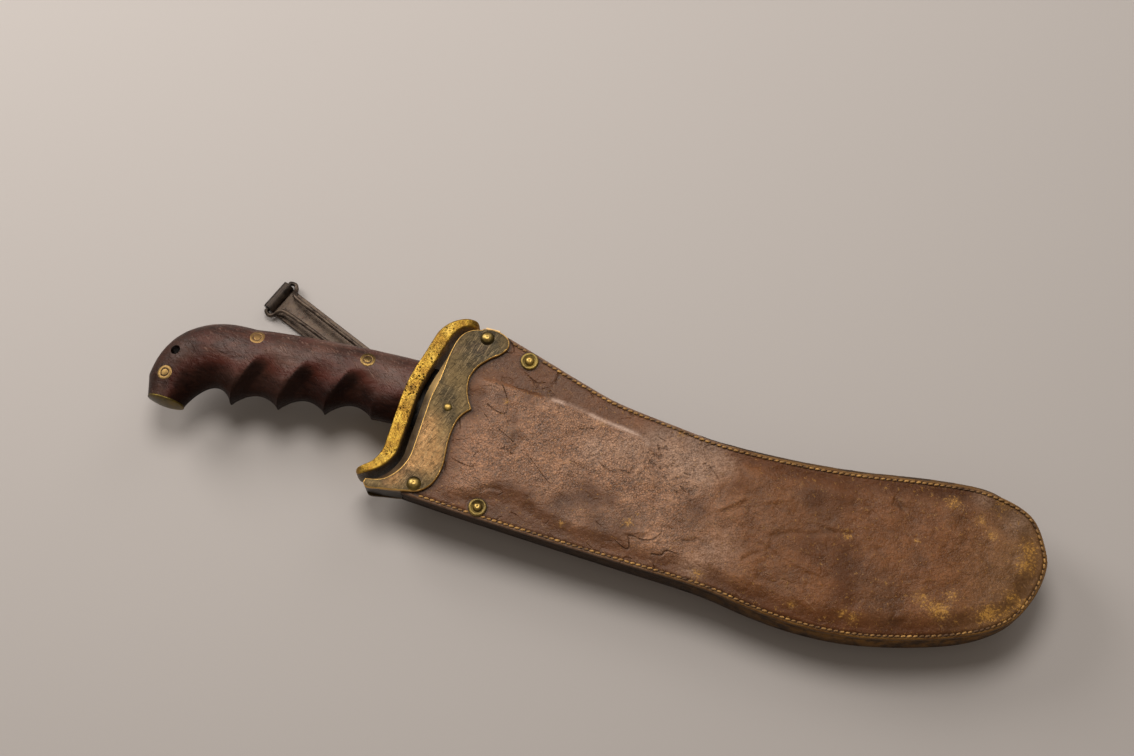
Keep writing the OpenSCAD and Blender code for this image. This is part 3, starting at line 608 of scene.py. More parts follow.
# ---------------------------------------------------------------- materials
# each word that the finishes use: the node it adds, the node's settings, the sockets that its
# values fill in their order, and the output that is passed on
MIX_SOCKETS, RANGE_SOCKETS = (0, 6, 7), (0, 1, 2, 3, 4)
WORDS = {
    "place": ("TexCoord", {}, (), "Object"),
    "stretched": ("Mapping", {"vector_type": "TEXTURE"}, (0, 2, 3), 0),
    "nudged": ("VectorMath", {"operation": "MULTIPLY_ADD"}, (0, 1, 2), 0),
    "along": ("VectorMath", {"operation": "DOT_PRODUCT"}, (0, 1), "Value"),
    "x": ("SeparateXYZ", {}, (0,), 0),
    "y": ("SeparateXYZ", {}, (0,), 1),
    "z": ("SeparateXYZ", {}, (0,), 2),
    "tag": ("Attribute", {}, (), "Fac"),
    "noise": ("TexNoise", {}, ("Vector", "Scale", "Detail", "Roughness", "Distortion"), 0),
    "cells": ("TexVoronoi", {"feature": "F1"}, ("Vector", "Scale"), "Distance"),
    "cracks": ("TexVoronoi", {"feature": "DISTANCE_TO_EDGE"}, ("Vector", "Scale"), "Distance"),
    "times": ("Math", {"operation": "MULTIPLY"}, (0, 1), 0),
    "plus": ("Math", {"operation": "ADD"}, (0, 1), 0),
    "less": ("Math", {"operation": "SUBTRACT"}, (0, 1), 0),
    "larger": ("Math", {"operation": "MAXIMUM"}, (0, 1), 0),
    "amount": ("Math", {"operation": "ABSOLUTE"}, (0,), 0),
    "spread": ("MapRange", {}, RANGE_SOCKETS, 0),
    "band": ("MapRange", {"interpolation_type": "SMOOTHSTEP"}, RANGE_SOCKETS, 0),
    "ramp": ("ValToRGB", {}, (0,), 0),
    "blend": ("Mix", {"data_type": "RGBA"}, MIX_SOCKETS, 2),
    "scaled": ("VectorMath", {"operation": "SCALE"}, (0, "Scale"), 0),
    "bump": ("Bump", {}, ("Height", "Distance", "Strength", "Normal"), 0)}


def add(tree, word, *values, stops=(), **settings):
    """Adds the node that a word stands for, fills its sockets with values or links, and gives
    its output. A scale is MM divided by the size of one lump in millimetres."""
    kind, ready, sockets, output = WORDS[word]
    made = tree.nodes.new("ShaderNode" + kind)
    for key, value in {**ready, **settings}.items():
        setattr(made, key, value)
    if stops:
        ramp = made.color_ramp.elements
        while len(ramp) < len(stops):
            ramp.new(0.5)
        for stop, (share, shade) in zip(ramp, stops):
            stop.position, stop.color = share, shade
    for socket, value in zip(sockets, values):
        if isinstance(value, bpy.types.NodeSocket):
            tree.links.new(value, made.inputs[socket])
        else:
            made.inputs[socket].default_value = value
    return made.outputs[output]


def surface(name):
    """A new material with its tree, its shader and Object coordinates."""
    material = bpy.data.materials.new(name)
    material.use_nodes = True
    tree = material.node_tree
    return material, tree, tree.nodes["Principled BSDF"], add(tree, "place")


def relief(tree, shader, layers):
    """Chains bumps, each (height, depth in millimetres), into the shader's normal."""
    below = ()
    for height, depth in layers:
        below = (add(tree, "bump", height, depth / MM, 1.0, *below),)
    tree.links.new(below[0], shader.inputs["Normal"])


def handled_walnut():
    """Walnut, oiled and darkened by hands: long dark grain, painted shade that is near black in
    the finger grooves and darker along the lower half, a soft sheen on the shoulder and fine
    scratches."""
    material, tree, shader, place = surface("handled_walnut")
    grain = add(tree, "noise", add(tree, "stretched", place, (0, 0, 0.1), (1 / 0.3, 1, 1)),
                MM / 3.4, 7, 0.62, 0.8)
    pores = add(tree, "noise", add(tree, "stretched", place, (0, 0, 0.1), (1 / 0.16, 1, 1)),
                MM / 0.9, 3, 0.6, 0.2)
    mottle = add(tree, "noise", place, MM / 16, 4, 0.55)
    wear = add(tree, "noise", place, MM / 30, 3, 0.5)
    base = add(tree, "ramp", grain, stops=[(0.28, tint("wood_dark")), (0.48, linear("#2f150d")),
                                           (0.64, tint("wood")), (0.82, linear("#5d3827"))])
    reddish = add(tree, "blend", add(tree, "band", mottle, 0.48, 0.66, 0, 0.5), base,
                  linear("#4a1a0e"))
    dusty = add(tree, "blend", add(tree, "band", wear, 0.46, 0.62, 0, 0.3), reddish,
                linear("#6b4c3e"))
    porous = add(tree, "blend", add(tree, "band", pores, 0.54, 0.66, 0, 0.55), dusty,
                 linear("#1a0d08"))
    # painted shade: near black in the finger grooves with a reddish fringe, and darker along the
    # lower half of the grip
    hollow = add(tree, "tag", attribute_name="hollow")
    rim = add(tree, "times", add(tree, "band", hollow, 0.02, 0.3),
              add(tree, "band", hollow, 0.3, 0.7, 0.7, 0))
    shade_fringed = add(tree, "blend", rim, porous, linear("#481608"))
    groove_shaded = add(tree, "blend", add(tree, "band", hollow, 0.15, 0.85, 0, 0.88), shade_fringed,
                linear("#120806"))
    x = add(tree, "x", place)
    # painted shade: darker over the pommel, where the sheen is weaker too
    pommel = add(tree, "band", x, -0.222, -0.186, 1, 0)
    darker = add(tree, "blend", add(tree, "times", pommel, 0.55), groove_shaded, linear("#0f0705"))
    dents = add(tree, "noise", add(tree, "stretched", place, (0, 0, -0.5), (1 / 0.5, 1, 1)),
                MM / 5, 4, 0.6, 1.0)
    scratch = add(tree, "noise", add(tree, "stretched", place, (0, 0, -0.7), (1 / 0.1, 1, 1)),
                  MM / 0.9, 2, 0.5, 1.0)
    fine = add(tree, "band", scratch, 0.58, 0.66)
    bare = add(tree, "times", add(tree, "band", hollow, 0, 0.3, 0.38, 0),
               add(tree, "less", 1.0, add(tree, "times", pommel, 0.8)))
    tree.links.new(add(tree, "blend", add(tree, "times", fine, bare), darker,
                       linear("#8a6a5a")), shader.inputs["Base Color"])
    tree.links.new(add(tree, "band", mottle, 0.3, 0.75, 0.38, 0.52), shader.inputs["Roughness"])
    tree.links.new(add(tree, "times", add(tree, "band", hollow, 0.0, 0.7, 0.6, 0.12),
                       add(tree, "less", 1.0, add(tree, "times", pommel, 0.75))),
                   shader.inputs["Specular IOR Level"])
    shader.inputs["Specular Tint"].default_value = linear("#ecd2c6")
    relief(tree, shader, [(grain, 0.15), (pores, 0.1), (dents, 0.45), (fine, -0.2)])
    return material


def brass_sheet(name, dirt, base, rubbed, copper, metal=0.9):
    """Shared build of the dull brasses: a skin that is brighter where an edge is rubbed, with
    dirt in its pits and a pinkish bloom where the zinc has gone."""
    material, tree, shader, place = surface(name)
    shader.inputs["Metallic"].default_value = metal
    big = add(tree, "noise", place, MM / 12, 5, 0.62, 0.4)
    fine = add(tree, "noise", place, MM / 1.5, 6, 0.7)
    streak = add(tree, "noise", add(tree, "stretched", place, (0, 0, 0.9), (1 / 0.12, 1, 1)),
                 MM / 0.5, 3, 0.6, 0.6)
    skin = add(tree, "ramp", big, stops=[(0.34, dirt), (0.5, base), (0.66, rubbed)])
    pink = add(tree, "blend", add(tree, "band", add(tree, "noise", place, MM / 20, 3, 0.55),
                                  0.45, 0.64, 0, copper), skin, linear("#a4745a"))
    speck = add(tree, "blend", add(tree, "band", fine, 0.5, 0.7, 0, 0.6), pink, dirt)
    return material, tree, shader, speck, (big, fine, streak)


def old_sheet_brass():
    """Sheet brass under an olive-brown patina, with bright rubbed edges and fine scratches."""
    material, tree, shader, skin, (big, fine, streak) = brass_sheet(
        "patinated_sheet_brass", linear("#5a4b31"), tint("brass_old"), linear("#b79765"), 0.55)
    stain = add(tree, "times", add(tree, "tag", attribute_name="stain"),
                add(tree, "band", fine, 0.3, 0.6, 1, 0.7))
    stained = add(tree, "blend", stain, skin, linear("#443e30"))
    place = add(tree, "place")
    grain = add(tree, "noise", place, MM / 0.9, 2, 0.6)
    copper = add(tree, "times", add(tree, "tag", attribute_name="copper"),
                 add(tree, "band", grain, 0.35, 0.6, 0.5, 0.9))
    coppery = add(tree, "blend", copper, stained, linear("#d9a066"))
    rubs = add(tree, "noise", add(tree, "stretched", place, (0, 0, 1.35), (1 / 0.07, 1, 1)),
               MM / 0.5, 2, 0.5, 0.2)
    scuffs = add(tree, "plus", add(tree, "band", streak, 0.58, 0.68, 0, 0.2),
                 add(tree, "band", rubs, 0.55, 0.66, 0, 0.3))
    scuffed = add(tree, "blend", scuffs, coppery, linear("#e0bd88"))
    cuts = add(tree, "noise", add(tree, "stretched", place, (0, 0, 1.1), (1 / 0.08, 1, 1)),
               MM / 0.7, 2, 0.5, 0.3)
    scuffed = add(tree, "blend", add(tree, "band", cuts, 0.58, 0.66, 0, 0.5), scuffed,
                  linear("#3a2c1a"))
    edge = add(tree, "plus", add(tree, "tag", attribute_name="edge"),
               add(tree, "times", fine, 0.7))
    shaded = add(tree, "blend", add(tree, "band", edge, 0.9, 2.6, 0.5, 0.0), scuffed,
                 linear("#4b3f29"))
    # the patina takes more than half of the light, and painted shade darkens the plate towards
    # its top
    y = add(tree, "y", place)
    dulled = add(tree, "scaled", shaded, add(tree, "spread", fine, 0.3, 0.7, 0.14, 0.56))
    dulled = add(tree, "scaled", dulled, add(tree, "band", y, -0.012, 0.012, 1.0, 0.74))
    bright = add(tree, "blend", add(tree, "band", edge, 0.64, 0.95, 0.95, 0.0), dulled,
                 linear("#d9aa5e"))
    tree.links.new(bright, shader.inputs["Base Color"])
    tree.links.new(add(tree, "band", big, 0.3, 0.7, 0.36, 0.52), shader.inputs["Roughness"])
    relief(tree, shader, [(big, 0.25), (fine, 0.08), (streak, 0.08)])
    return material


def plain_old_brass(name, dirt, base, rubbed, bright, copper=0.2, walls=None, metal=0.9):
    """A dull brass without rubbed edges; where the piece carries a rub value it is bright, which
    on rivet tops is partly a painted highlight, and below the heights of its walls it is darkened
    by painted shade, less so up the mouth, where painted light brightens the skin."""
    material, tree, shader, skin, (big, fine, _) = brass_sheet(
        name, linear(dirt), linear(base), linear(rubbed), copper, metal)
    rub = add(tree, "times", add(tree, "tag", attribute_name="rub"),
              add(tree, "band", fine, 0.34, 0.6, 1, 0.4))
    skin = add(tree, "blend", rub, skin, linear(bright))
    if walls:
        # painted light: up the mouth the skin is brighter, and the painted shade on its walls is
        # thinner
        y = add(tree, "y", add(tree, "place"))
        skin = add(tree, "blend", add(tree, "band", y, 0.004, 0.016, 0, 0.9), skin,
                   linear("#e0b878"))
        deep = add(tree, "times", add(tree, "band", y.node.outputs["Z"], *walls, 0.9, 0),
                   add(tree, "band", y, 0.004, 0.016, 1, 0.15))
        skin = add(tree, "blend", deep, skin, linear("#1a130d"))
    tree.links.new(skin, shader.inputs["Base Color"])
    tree.links.new(add(tree, "band", big, 0.3, 0.7, 0.36, 0.52), shader.inputs["Roughness"])
    relief(tree, shader, [(big, 0.12), (fine, 0.08)])
    return material


def dull_brass():
    """The same brass in the mouth and the spring, grey-brown, near black on its walls as painted
    shade, and brighter up the mouth as painted light.
    """
    return plain_old_brass("darkened_brass", "#4a3a29", "#69563f", "#7d6749", "#8b7a5c", 0.1,
                           (0.0262, 0.0281), 0.15)


def butt_brass():
    """Brass of the butt plate: dark olive in the middle, yellow at the rim."""
    return plain_old_brass("olive_butt_brass", "#2c2512", "#55461f", "#7a6429", "#a98c3c", 0.0)


def rivet_brass():
    """Rivet heads: dark olive with a bright top that is partly rubbed wear and partly a painted
    highlight.
    """
    return plain_old_brass("worn_rivet_brass", "#3a2f1a", "#675630", "#8f783c", "#deb765", 0.0)


def pin_brass():
    """Pins and their washers: filed flush, dull yellow, with dirt in the joint."""
    return plain_old_brass("filed_pin_brass", "#3b2d17", "#735a30", "#8c6f3b", "#967846", 0.25)


def cast_brass():
    """Cast brass rubbed bright: strong yellow with dark pits, brown patches, and painted shade on
    its side face and towards its upper tip.
    """
    material, tree, shader, place = surface("rubbed_cast_brass")
    # the wall that faces the mouth is too dirty to reflect it
    tree.links.new(add(tree, "band", add(tree, "tag", attribute_name="wall"), 0, 1, 0.95, 0.35),
                   shader.inputs["Metallic"])
    tone = add(tree, "noise", place, MM / 7, 6, 0.7, 0.5)
    grit = add(tree, "noise", place, MM / 0.8, 4, 0.75)
    shaken = add(tree, "nudged", grit.node.outputs["Color"], (1.5 / MM,) * 3, place)
    cells = add(tree, "cells", shaken, MM / 1.7)
    y = add(tree, "y", place)
    off_arm = add(tree, "amount", add(tree, "less", y, 0.012))
    arm = add(tree, "band", off_arm, 0.004, 0.014, 1, 0)
    patches = add(tree, "noise", place, MM / 6, 5, 0.7)
    where = add(tree, "plus", patches, add(tree, "times", arm, 0.06))
    pits = add(tree, "times", add(tree, "band", cells, 0.2, 0.36, 1, 0),
               add(tree, "band", where, 0.49, 0.6))
    base = add(tree, "ramp", tone, stops=[(0.32, linear("#6d4a1e")), (0.45, linear("#a2792f")),
                                          (0.57, tint("brass")), (0.74, linear("#dcb55c"))])
    stains = add(tree, "noise", place, MM / 13, 5, 0.7)
    browned = add(tree, "blend", add(tree, "band", stains, 0.48, 0.62, 0, 0.5), base,
                  linear("#74572a"))
    gritty = add(tree, "blend", add(tree, "band", grit, 0.5, 0.66, 0, 0.7), browned,
                 tint("brass_pit"))
    pitted = add(tree, "blend", add(tree, "times", pits, 0.92), gritty, linear("#1d1408"))
    # painted shade: the face is darker towards the upper tip
    pitted = add(tree, "scaled", pitted, add(tree, "band", y, 0.014, 0.034, 0.9, 0.74))
    # painted shade on the side face
    shade = add(tree, "times", add(tree, "tag", attribute_name="shade"),
                add(tree, "band", grit, 0.3, 0.6, 0.96, 0.7))
    tree.links.new(add(tree, "blend", shade, pitted, linear("#24190c")),
                   shader.inputs["Base Color"])
    tree.links.new(add(tree, "band", grit, 0.35, 0.7, 0.36, 0.6), shader.inputs["Roughness"])
    relief(tree, shader, [(tone, 0.3), (grit, 0.22), (pits, -0.35)])
    return material


def worn_leather():
    """Vegetable-tanned cowhide, pressed over the blade: a crackled pink-brown grain over most of
    its length, rust brown and plainer towards the nose, darker and smooth where it lies flat on
    the seam, with oil stains and places rubbed through to pale tan. Painted sheen lies over its
    middle, a painted highlight along the crease over the spine, and painted shade in its thread
    channel, its creases, beside the throat plate and round the rivets."""
    material, tree, shader, place = surface("worn_tanned_leather")
    x = add(tree, "x", place)
    wide = add(tree, "noise", place, MM / 38, 4, 0.6, 0.2)
    patchy = add(tree, "noise", place, MM / 11, 5, 0.66, 0.1)
    fleck = add(tree, "noise", place, MM / 0.75, 1, 0.5)
    cross = add(tree, "noise", add(tree, "stretched", place, (0, 0, 0.5), (1 / 0.5, 1, 1)),
                MM / 1.2, 2, 0.6)
    mesh = add(tree, "times", add(tree, "plus", fleck, cross), 0.5)
    dust = add(tree, "noise", place, MM / 3.2, 6, 0.74)
    scuff = add(tree, "noise", add(tree, "stretched", place, (0, 0, 0.3), (1 / 0.45, 1, 1)),
                MM / 4, 6, 0.72, 0.3)
    hair = add(tree, "noise", add(tree, "stretched", place, (0, 0, -0.6), (1 / 0.1, 1, 1)),
               MM / 1.2, 2, 0.6, 0.8)
    weave = add(tree, "nudged", fleck.node.outputs["Color"], (0.7 / MM,) * 3, place)
    cells = add(tree, "cracks", weave, MM / 1.35)
    crackle = add(tree, "larger", add(tree, "band", cells, 0.0, 0.24, 0, 1),
                  add(tree, "band", patchy, 0.5, 0.7, 0, 0.8))
    # wrinkles: thin lines where a warped noise passes its middle, only here and there
    bent = add(tree, "noise", add(tree, "stretched", place, (0, 0, -0.5), (1 / 0.4, 1, 1)),
               MM / 15, 1, 0.4, 0.2)
    off_line = add(tree, "amount", add(tree, "less", bent, 0.5))
    here = add(tree, "band", add(tree, "noise", place, MM / 13, 4, 0.6), 0.5, 0.62)
    fold = add(tree, "times", add(tree, "band", off_line, 0.0, 0.016, 1, 0), here)
    short = add(tree, "noise", add(tree, "stretched", place, (0, 0, 0.35), (1 / 0.35, 1, 1)),
                MM / 10, 1, 0.4, 0.2)
    off_line = add(tree, "amount", add(tree, "less", short, 0.5))
    here = add(tree, "band", add(tree, "noise", place, MM / 9, 4, 0.6), 0.58, 0.7, 0, 0.8)
    fold = add(tree, "larger", fold,
               add(tree, "times", add(tree, "band", off_line, 0.0, 0.016, 1, 0), here))
    along = add(tree, "plus", x, add(tree, "times", add(tree, "less", wide, 0.5), 0.1))
    nose = add(tree, "band", along, 0.02, 0.1)
    fold = add(tree, "times", fold, add(tree, "band", nose, 0.2, 1, 1, 0.25))
    pressed = add(tree, "tag", attribute_name="pressed")
    tan = add(tree, "blend", nose, tint("leather"), tint("leather_rust"))
    smooth = add(tree, "blend", add(tree, "times", pressed, 0.82), tan, linear("#4c2a15"))
    smooth = add(tree, "blend", add(tree, "band", x, 0.17, 0.218, 0, 0.55), smooth,
                 linear("#7c5a36"))
    toned = add(tree, "scaled", smooth, add(tree, "spread", wide, 0.3, 0.7, 0.76, 1.2))
    toned = add(tree, "scaled", toned, add(tree, "spread", patchy, 0.3, 0.7, 0.74, 1.26))
    # the grain: pale flakes parted by dark lines, which fades where the leather is smooth; the
    # pale flakes are partly the grain's own tone and partly painted glints
    grained = add(tree, "times", add(tree, "less", 1.0, add(tree, "times", pressed, 0.85)),
                  add(tree, "less", 1.0, add(tree, "times", nose, 0.75)))
    # a pale bloom over the middle of the leather: painted sheen
    bloom = add(tree, "times", grained, add(tree, "band", x, -0.05, 0.02, 0.4, 1.1))
    bloom = add(tree, "times", bloom, add(tree, "band", patchy, 0.36, 0.6, 0, 0.3))
    grain = add(tree, "times", add(tree, "less", mesh, 0.5),
                add(tree, "plus", add(tree, "times", grained, 3.6), 0.8))
    pale = add(tree, "scaled", add(tree, "blend", bloom, toned, linear("#a27c5f")),
               add(tree, "plus", grain, 1.0))
    lines = add(tree, "times", add(tree, "less", 1.0, crackle),
                add(tree, "times", grained, 0.45))
    cracked = add(tree, "blend", lines, pale, linear("#3a2012"))
    # painted sheen on the listed places
    glossy = add(tree, "times", add(tree, "tag", attribute_name="sheen"),
                 add(tree, "band", mesh, 0.4, 0.6, 0.4, 1.4))
    cracked = add(tree, "blend", glossy, cracked, linear("#b8977f"))
    cracked = add(tree, "blend", add(tree, "times", fold, 0.6), cracked, linear("#2c180e"))
    dusted = add(tree, "blend", add(tree, "band", dust, 0.52, 0.68, 0, 0.5), cracked,
                 linear("#4a2c19"))
    thin = add(tree, "times", add(tree, "band", hair, 0.62, 0.7, 0, 0.3),
               add(tree, "band", scuff, 0.44, 0.62))
    hatched = add(tree, "blend", thin, dusted, linear("#b08560"))
    stain = add(tree, "times", add(tree, "tag", attribute_name="stain"),
                add(tree, "band", dust, 0.3, 0.6, 0.8, 0.3))
    greyed = add(tree, "blend", stain, hatched, linear("#3d2a1c"))
    # rubbed places, ragged by the noise
    ragged = add(tree, "noise", place, MM / 1.4, 6, 0.8, 0.2)
    worn = add(tree, "times", add(tree, "tag", attribute_name="gold"), 0.12)
    gold = add(tree, "band", add(tree, "plus", worn, ragged), 0.59, 0.69, 0, 0.85)
    specks = add(tree, "times", add(tree, "band", dust, 0.6, 0.66),
                 add(tree, "band", along, 0.03, 0.15, 0.08, 0.45))
    near = add(tree, "band", add(tree, "tag", attribute_name="gold"), 0.05, 1.0, 0, 0.35)
    haze = add(tree, "times", near, add(tree, "band", dust, 0.4, 0.6, 0.3, 1))
    hazy = add(tree, "blend", haze, greyed, linear("#8d6534"))
    golden = add(tree, "blend", add(tree, "larger", gold, specks), hazy, tint("leather_gold"))
    # outside the seam: a pale frayed strip, golden towards the nose
    edge = add(tree, "plus", add(tree, "tag", attribute_name="edge"),
               add(tree, "times", dust, 1.2))
    strip = add(tree, "blend", nose, linear("#8b6a50"), linear("#8a6230"))
    frays = add(tree, "times", add(tree, "band", edge, 1.5, 2.2, 0.8, 0),
                add(tree, "band", scuff, 0.38, 0.56, 0.25, 1))
    frayed = add(tree, "blend", frays, golden, strip)
    rim = add(tree, "blend", add(tree, "band", edge, 0.6, 1.1, 0.8, 0), frayed,
              add(tree, "blend", nose, linear("#2b1c12"), linear("#5e4320")))
    # painted highlight along the crease over the spine
    rubbed = add(tree, "times", add(tree, "tag", attribute_name="rubbed"),
                 add(tree, "band", mesh, 0.4, 0.56, 0.6, 1))
    ridge = add(tree, "blend", rubbed, rim, linear("#cfb09c"))
    # painted shade: darker in the thread's channel and the creases, beside the throat plate and
    # round the rivet heads
    shade_darkened = add(tree, "blend", add(tree, "tag", attribute_name="dirt"), ridge, linear("#1d110b"))
    tree.links.new(shade_darkened, shader.inputs["Base Color"])
    tree.links.new(add(tree, "spread", patchy, 0.3, 0.7, 0.36, 0.5), shader.inputs["Roughness"])
    tree.links.new(add(tree, "times", add(tree, "band", nose, 0, 1, 0.72, 0.38),
                       add(tree, "less", 1.0, add(tree, "times", pressed, 0.45))),
                   shader.inputs["Specular IOR Level"])
    shader.inputs["Specular Tint"].default_value = linear("#f3e0d0")
    relief(tree, shader, [(patchy, 1.2), (dust, 0.25), (fold, -0.5),
                          (add(tree, "times", crackle, grained), 0.12),
                          (add(tree, "times", mesh, grained), 0.25), (scuff, 0.2)])
    return material


def burnished_edge():
    """Cut edges of the same leather, dyed and burnished nearly black, with its layers showing,
    darker still towards the back as painted shade, and rubbed to a dull gold towards the nose."""
    material, tree, shader, place = surface("burnished_leather_edge")
    x, z = add(tree, "x", place), add(tree, "z", place)
    layered = add(tree, "stretched", place, (0, 0, 0), (1 / 0.4, 1 / 0.4, 1 / 1.2))
    fibre = add(tree, "noise", layered, MM / 1.6, 6, 0.7, 0.3)
    patchy = add(tree, "noise", place, MM / 7, 5, 0.66)
    base = add(tree, "ramp", fibre, stops=[(0.3, linear("#1a110a")), (0.55, linear("#2d1c0e")),
                                           (0.8, linear("#4f361b"))])
    worn = add(tree, "times", add(tree, "band", patchy, 0.4, 0.62, 0.15, 0.85),
               add(tree, "band", x, 0.02, 0.16, 0.1, 1.15))
    edged = add(tree, "blend", worn, base, linear("#7d5520"))
    # painted shade: darker towards the back face
    tree.links.new(add(tree, "blend", add(tree, "band", z, 0.014, 0.027, 0.85, 0), edged,
                       linear("#160d05")), shader.inputs["Base Color"])
    shader.inputs["Roughness"].default_value = 0.6
    shader.inputs["Specular IOR Level"].default_value = 0.15
    relief(tree, shader, [(fibre, 0.25), (patchy, 0.4)])
    return material


def waxed_thread():
    """Waxed linen thread, golden where it is rubbed and dark with wax between."""
    material, tree, shader, place = surface("waxed_linen_thread")
    worn = add(tree, "noise", place, MM / 7, 4, 0.7)
    ply = add(tree, "noise", place, MM / 0.5, 2, 0.5)
    base = add(tree, "ramp", worn, stops=[(0.36, linear("#57391c")), (0.48, linear("#946a35")),
                                          (0.62, tint("thread"))])
    tree.links.new(add(tree, "blend", add(tree, "band", ply, 0.45, 0.6, 0, 0.4), base,
                       linear("#3a2613")), shader.inputs["Base Color"])
    shader.inputs["Roughness"].default_value = 0.7
    relief(tree, shader, [(ply, 0.1)])
    return material


def browned_steel():
    """Mild steel, browned and handled: dark, mottled with thin rust, brighter on worn places."""
    material, tree, shader, place = surface("browned_mild_steel")
    shader.inputs["Metallic"].default_value = 0.85
    h = sizes("bolo_hanger")
    out = (math.cos(h["angle"]), math.sin(h["angle"]), 0)
    along = add(tree, "along", place, out)
    roll = (h["reach"] + ORIGIN[0] * out[0] + (ORIGIN[1] - SWIVEL_DROP) * out[1]) / MM
    mottle = add(tree, "noise", place, MM / 5, 6, 0.7, 0.4)
    fine = add(tree, "noise", place, MM / 1.0, 5, 0.7)
    base = add(tree, "ramp", mottle, stops=[(0.32, linear("#231a14")), (0.5, tint("steel")),
                                            (0.7, linear("#6f5f4f"))])
    rusty = add(tree, "blend", add(tree, "band", fine, 0.52, 0.7, 0, 0.6), base,
                linear("#4c2f1c"))
    # black where the plate rolls over, and beyond
    rolled = add(tree, "band", along, roll - 0.0035, roll - 0.001, 0, 0.6)
    tree.links.new(add(tree, "blend", rolled, rusty, linear("#0c0b0a")),
                   shader.inputs["Base Color"])
    tree.links.new(add(tree, "band", mottle, 0.3, 0.7, 0.38, 0.6), shader.inputs["Roughness"])
    relief(tree, shader, [(mottle, 0.15), (fine, 0.06)])
    return material


def ground_steel():
    """Carbon steel, ground along the blade and stained grey: fine lines and dark blooms."""
    material, tree, shader, place = surface("ground_carbon_steel")
    shader.inputs["Metallic"].default_value = 1.0
    lines = add(tree, "noise", add(tree, "stretched", place, (0, 0, 0), (1 / 0.02, 1, 1)),
                MM / 0.6, 4, 0.6)
    bloom = add(tree, "noise", place, MM / 15, 6, 0.7, 0.5)
    base = add(tree, "blend", add(tree, "band", lines, 0.4, 0.65, 0, 0.35), tint("blade"),
               linear("#5d5a54"))
    stained = add(tree, "blend", add(tree, "band", bloom, 0.5, 0.68, 0, 0.7), base,
                  linear("#3b3733"))
    # painted shade: the root is near black beside the guard, where it lies in the gap to the
    # mouth
    x = add(tree, "x", place)
    tree.links.new(add(tree, "blend", add(tree, "band", x, -0.0865, -0.0805, 0.97, 0), stained,
                       linear("#0d0a08")), shader.inputs["Base Color"])
    tree.links.new(add(tree, "band", bloom, 0.35, 0.7, 0.28, 0.5), shader.inputs["Roughness"])
    relief(tree, shader, [(lines, 0.03), (bloom, 0.08)])
    return material


MATERIALS = {}
RECIPES = {"wood": handled_walnut, "brass": cast_brass, "sheet": old_sheet_brass,
           "mouth": dull_brass, "butt": butt_brass, "rivet": rivet_brass, "pin": pin_brass,
           "leather": worn_leather, "edge": burnished_edge, "thread": waxed_thread,
           "steel": browned_steel, "blade": ground_steel}


def finish_of(name):
    """The finish of that name, made the first time it is asked for."""
    if name not in MATERIALS:
        MATERIALS[name] = RECIPES[name]()
    return MATERIALS[name]


# ---------------------------------------------------------------- grip
GRIP_X = GUARD_X - 3.6
GRIP_END_X = GRIP_X - 125.5
GRIP_TOP_Y, GRIP_LOW_Y, GRIP_FALL = 22.6, 11.4, 8.4
RIDGE_FROM, RIDGE_STEP, RIDGE_FALL = 12.6, 23.1, 4.4
BUTT_Y, BUTT_D = GRIP_TOP_Y - GRIP_FALL - 48.0, 18.8
BOW_X, BOW_Y, BOW_H = GRIP_X - 82, GRIP_TOP_Y - GRIP_FALL, 38.0
PINS = ((GRIP_X - 22, 13.2), (GRIP_X - 78.6, 8.6), (GRIP_END_X + 9.4, BUTT_Y + 11.6))
LANYARD = (GRIP_END_X + 10.2, BUTT_Y + 24.3)


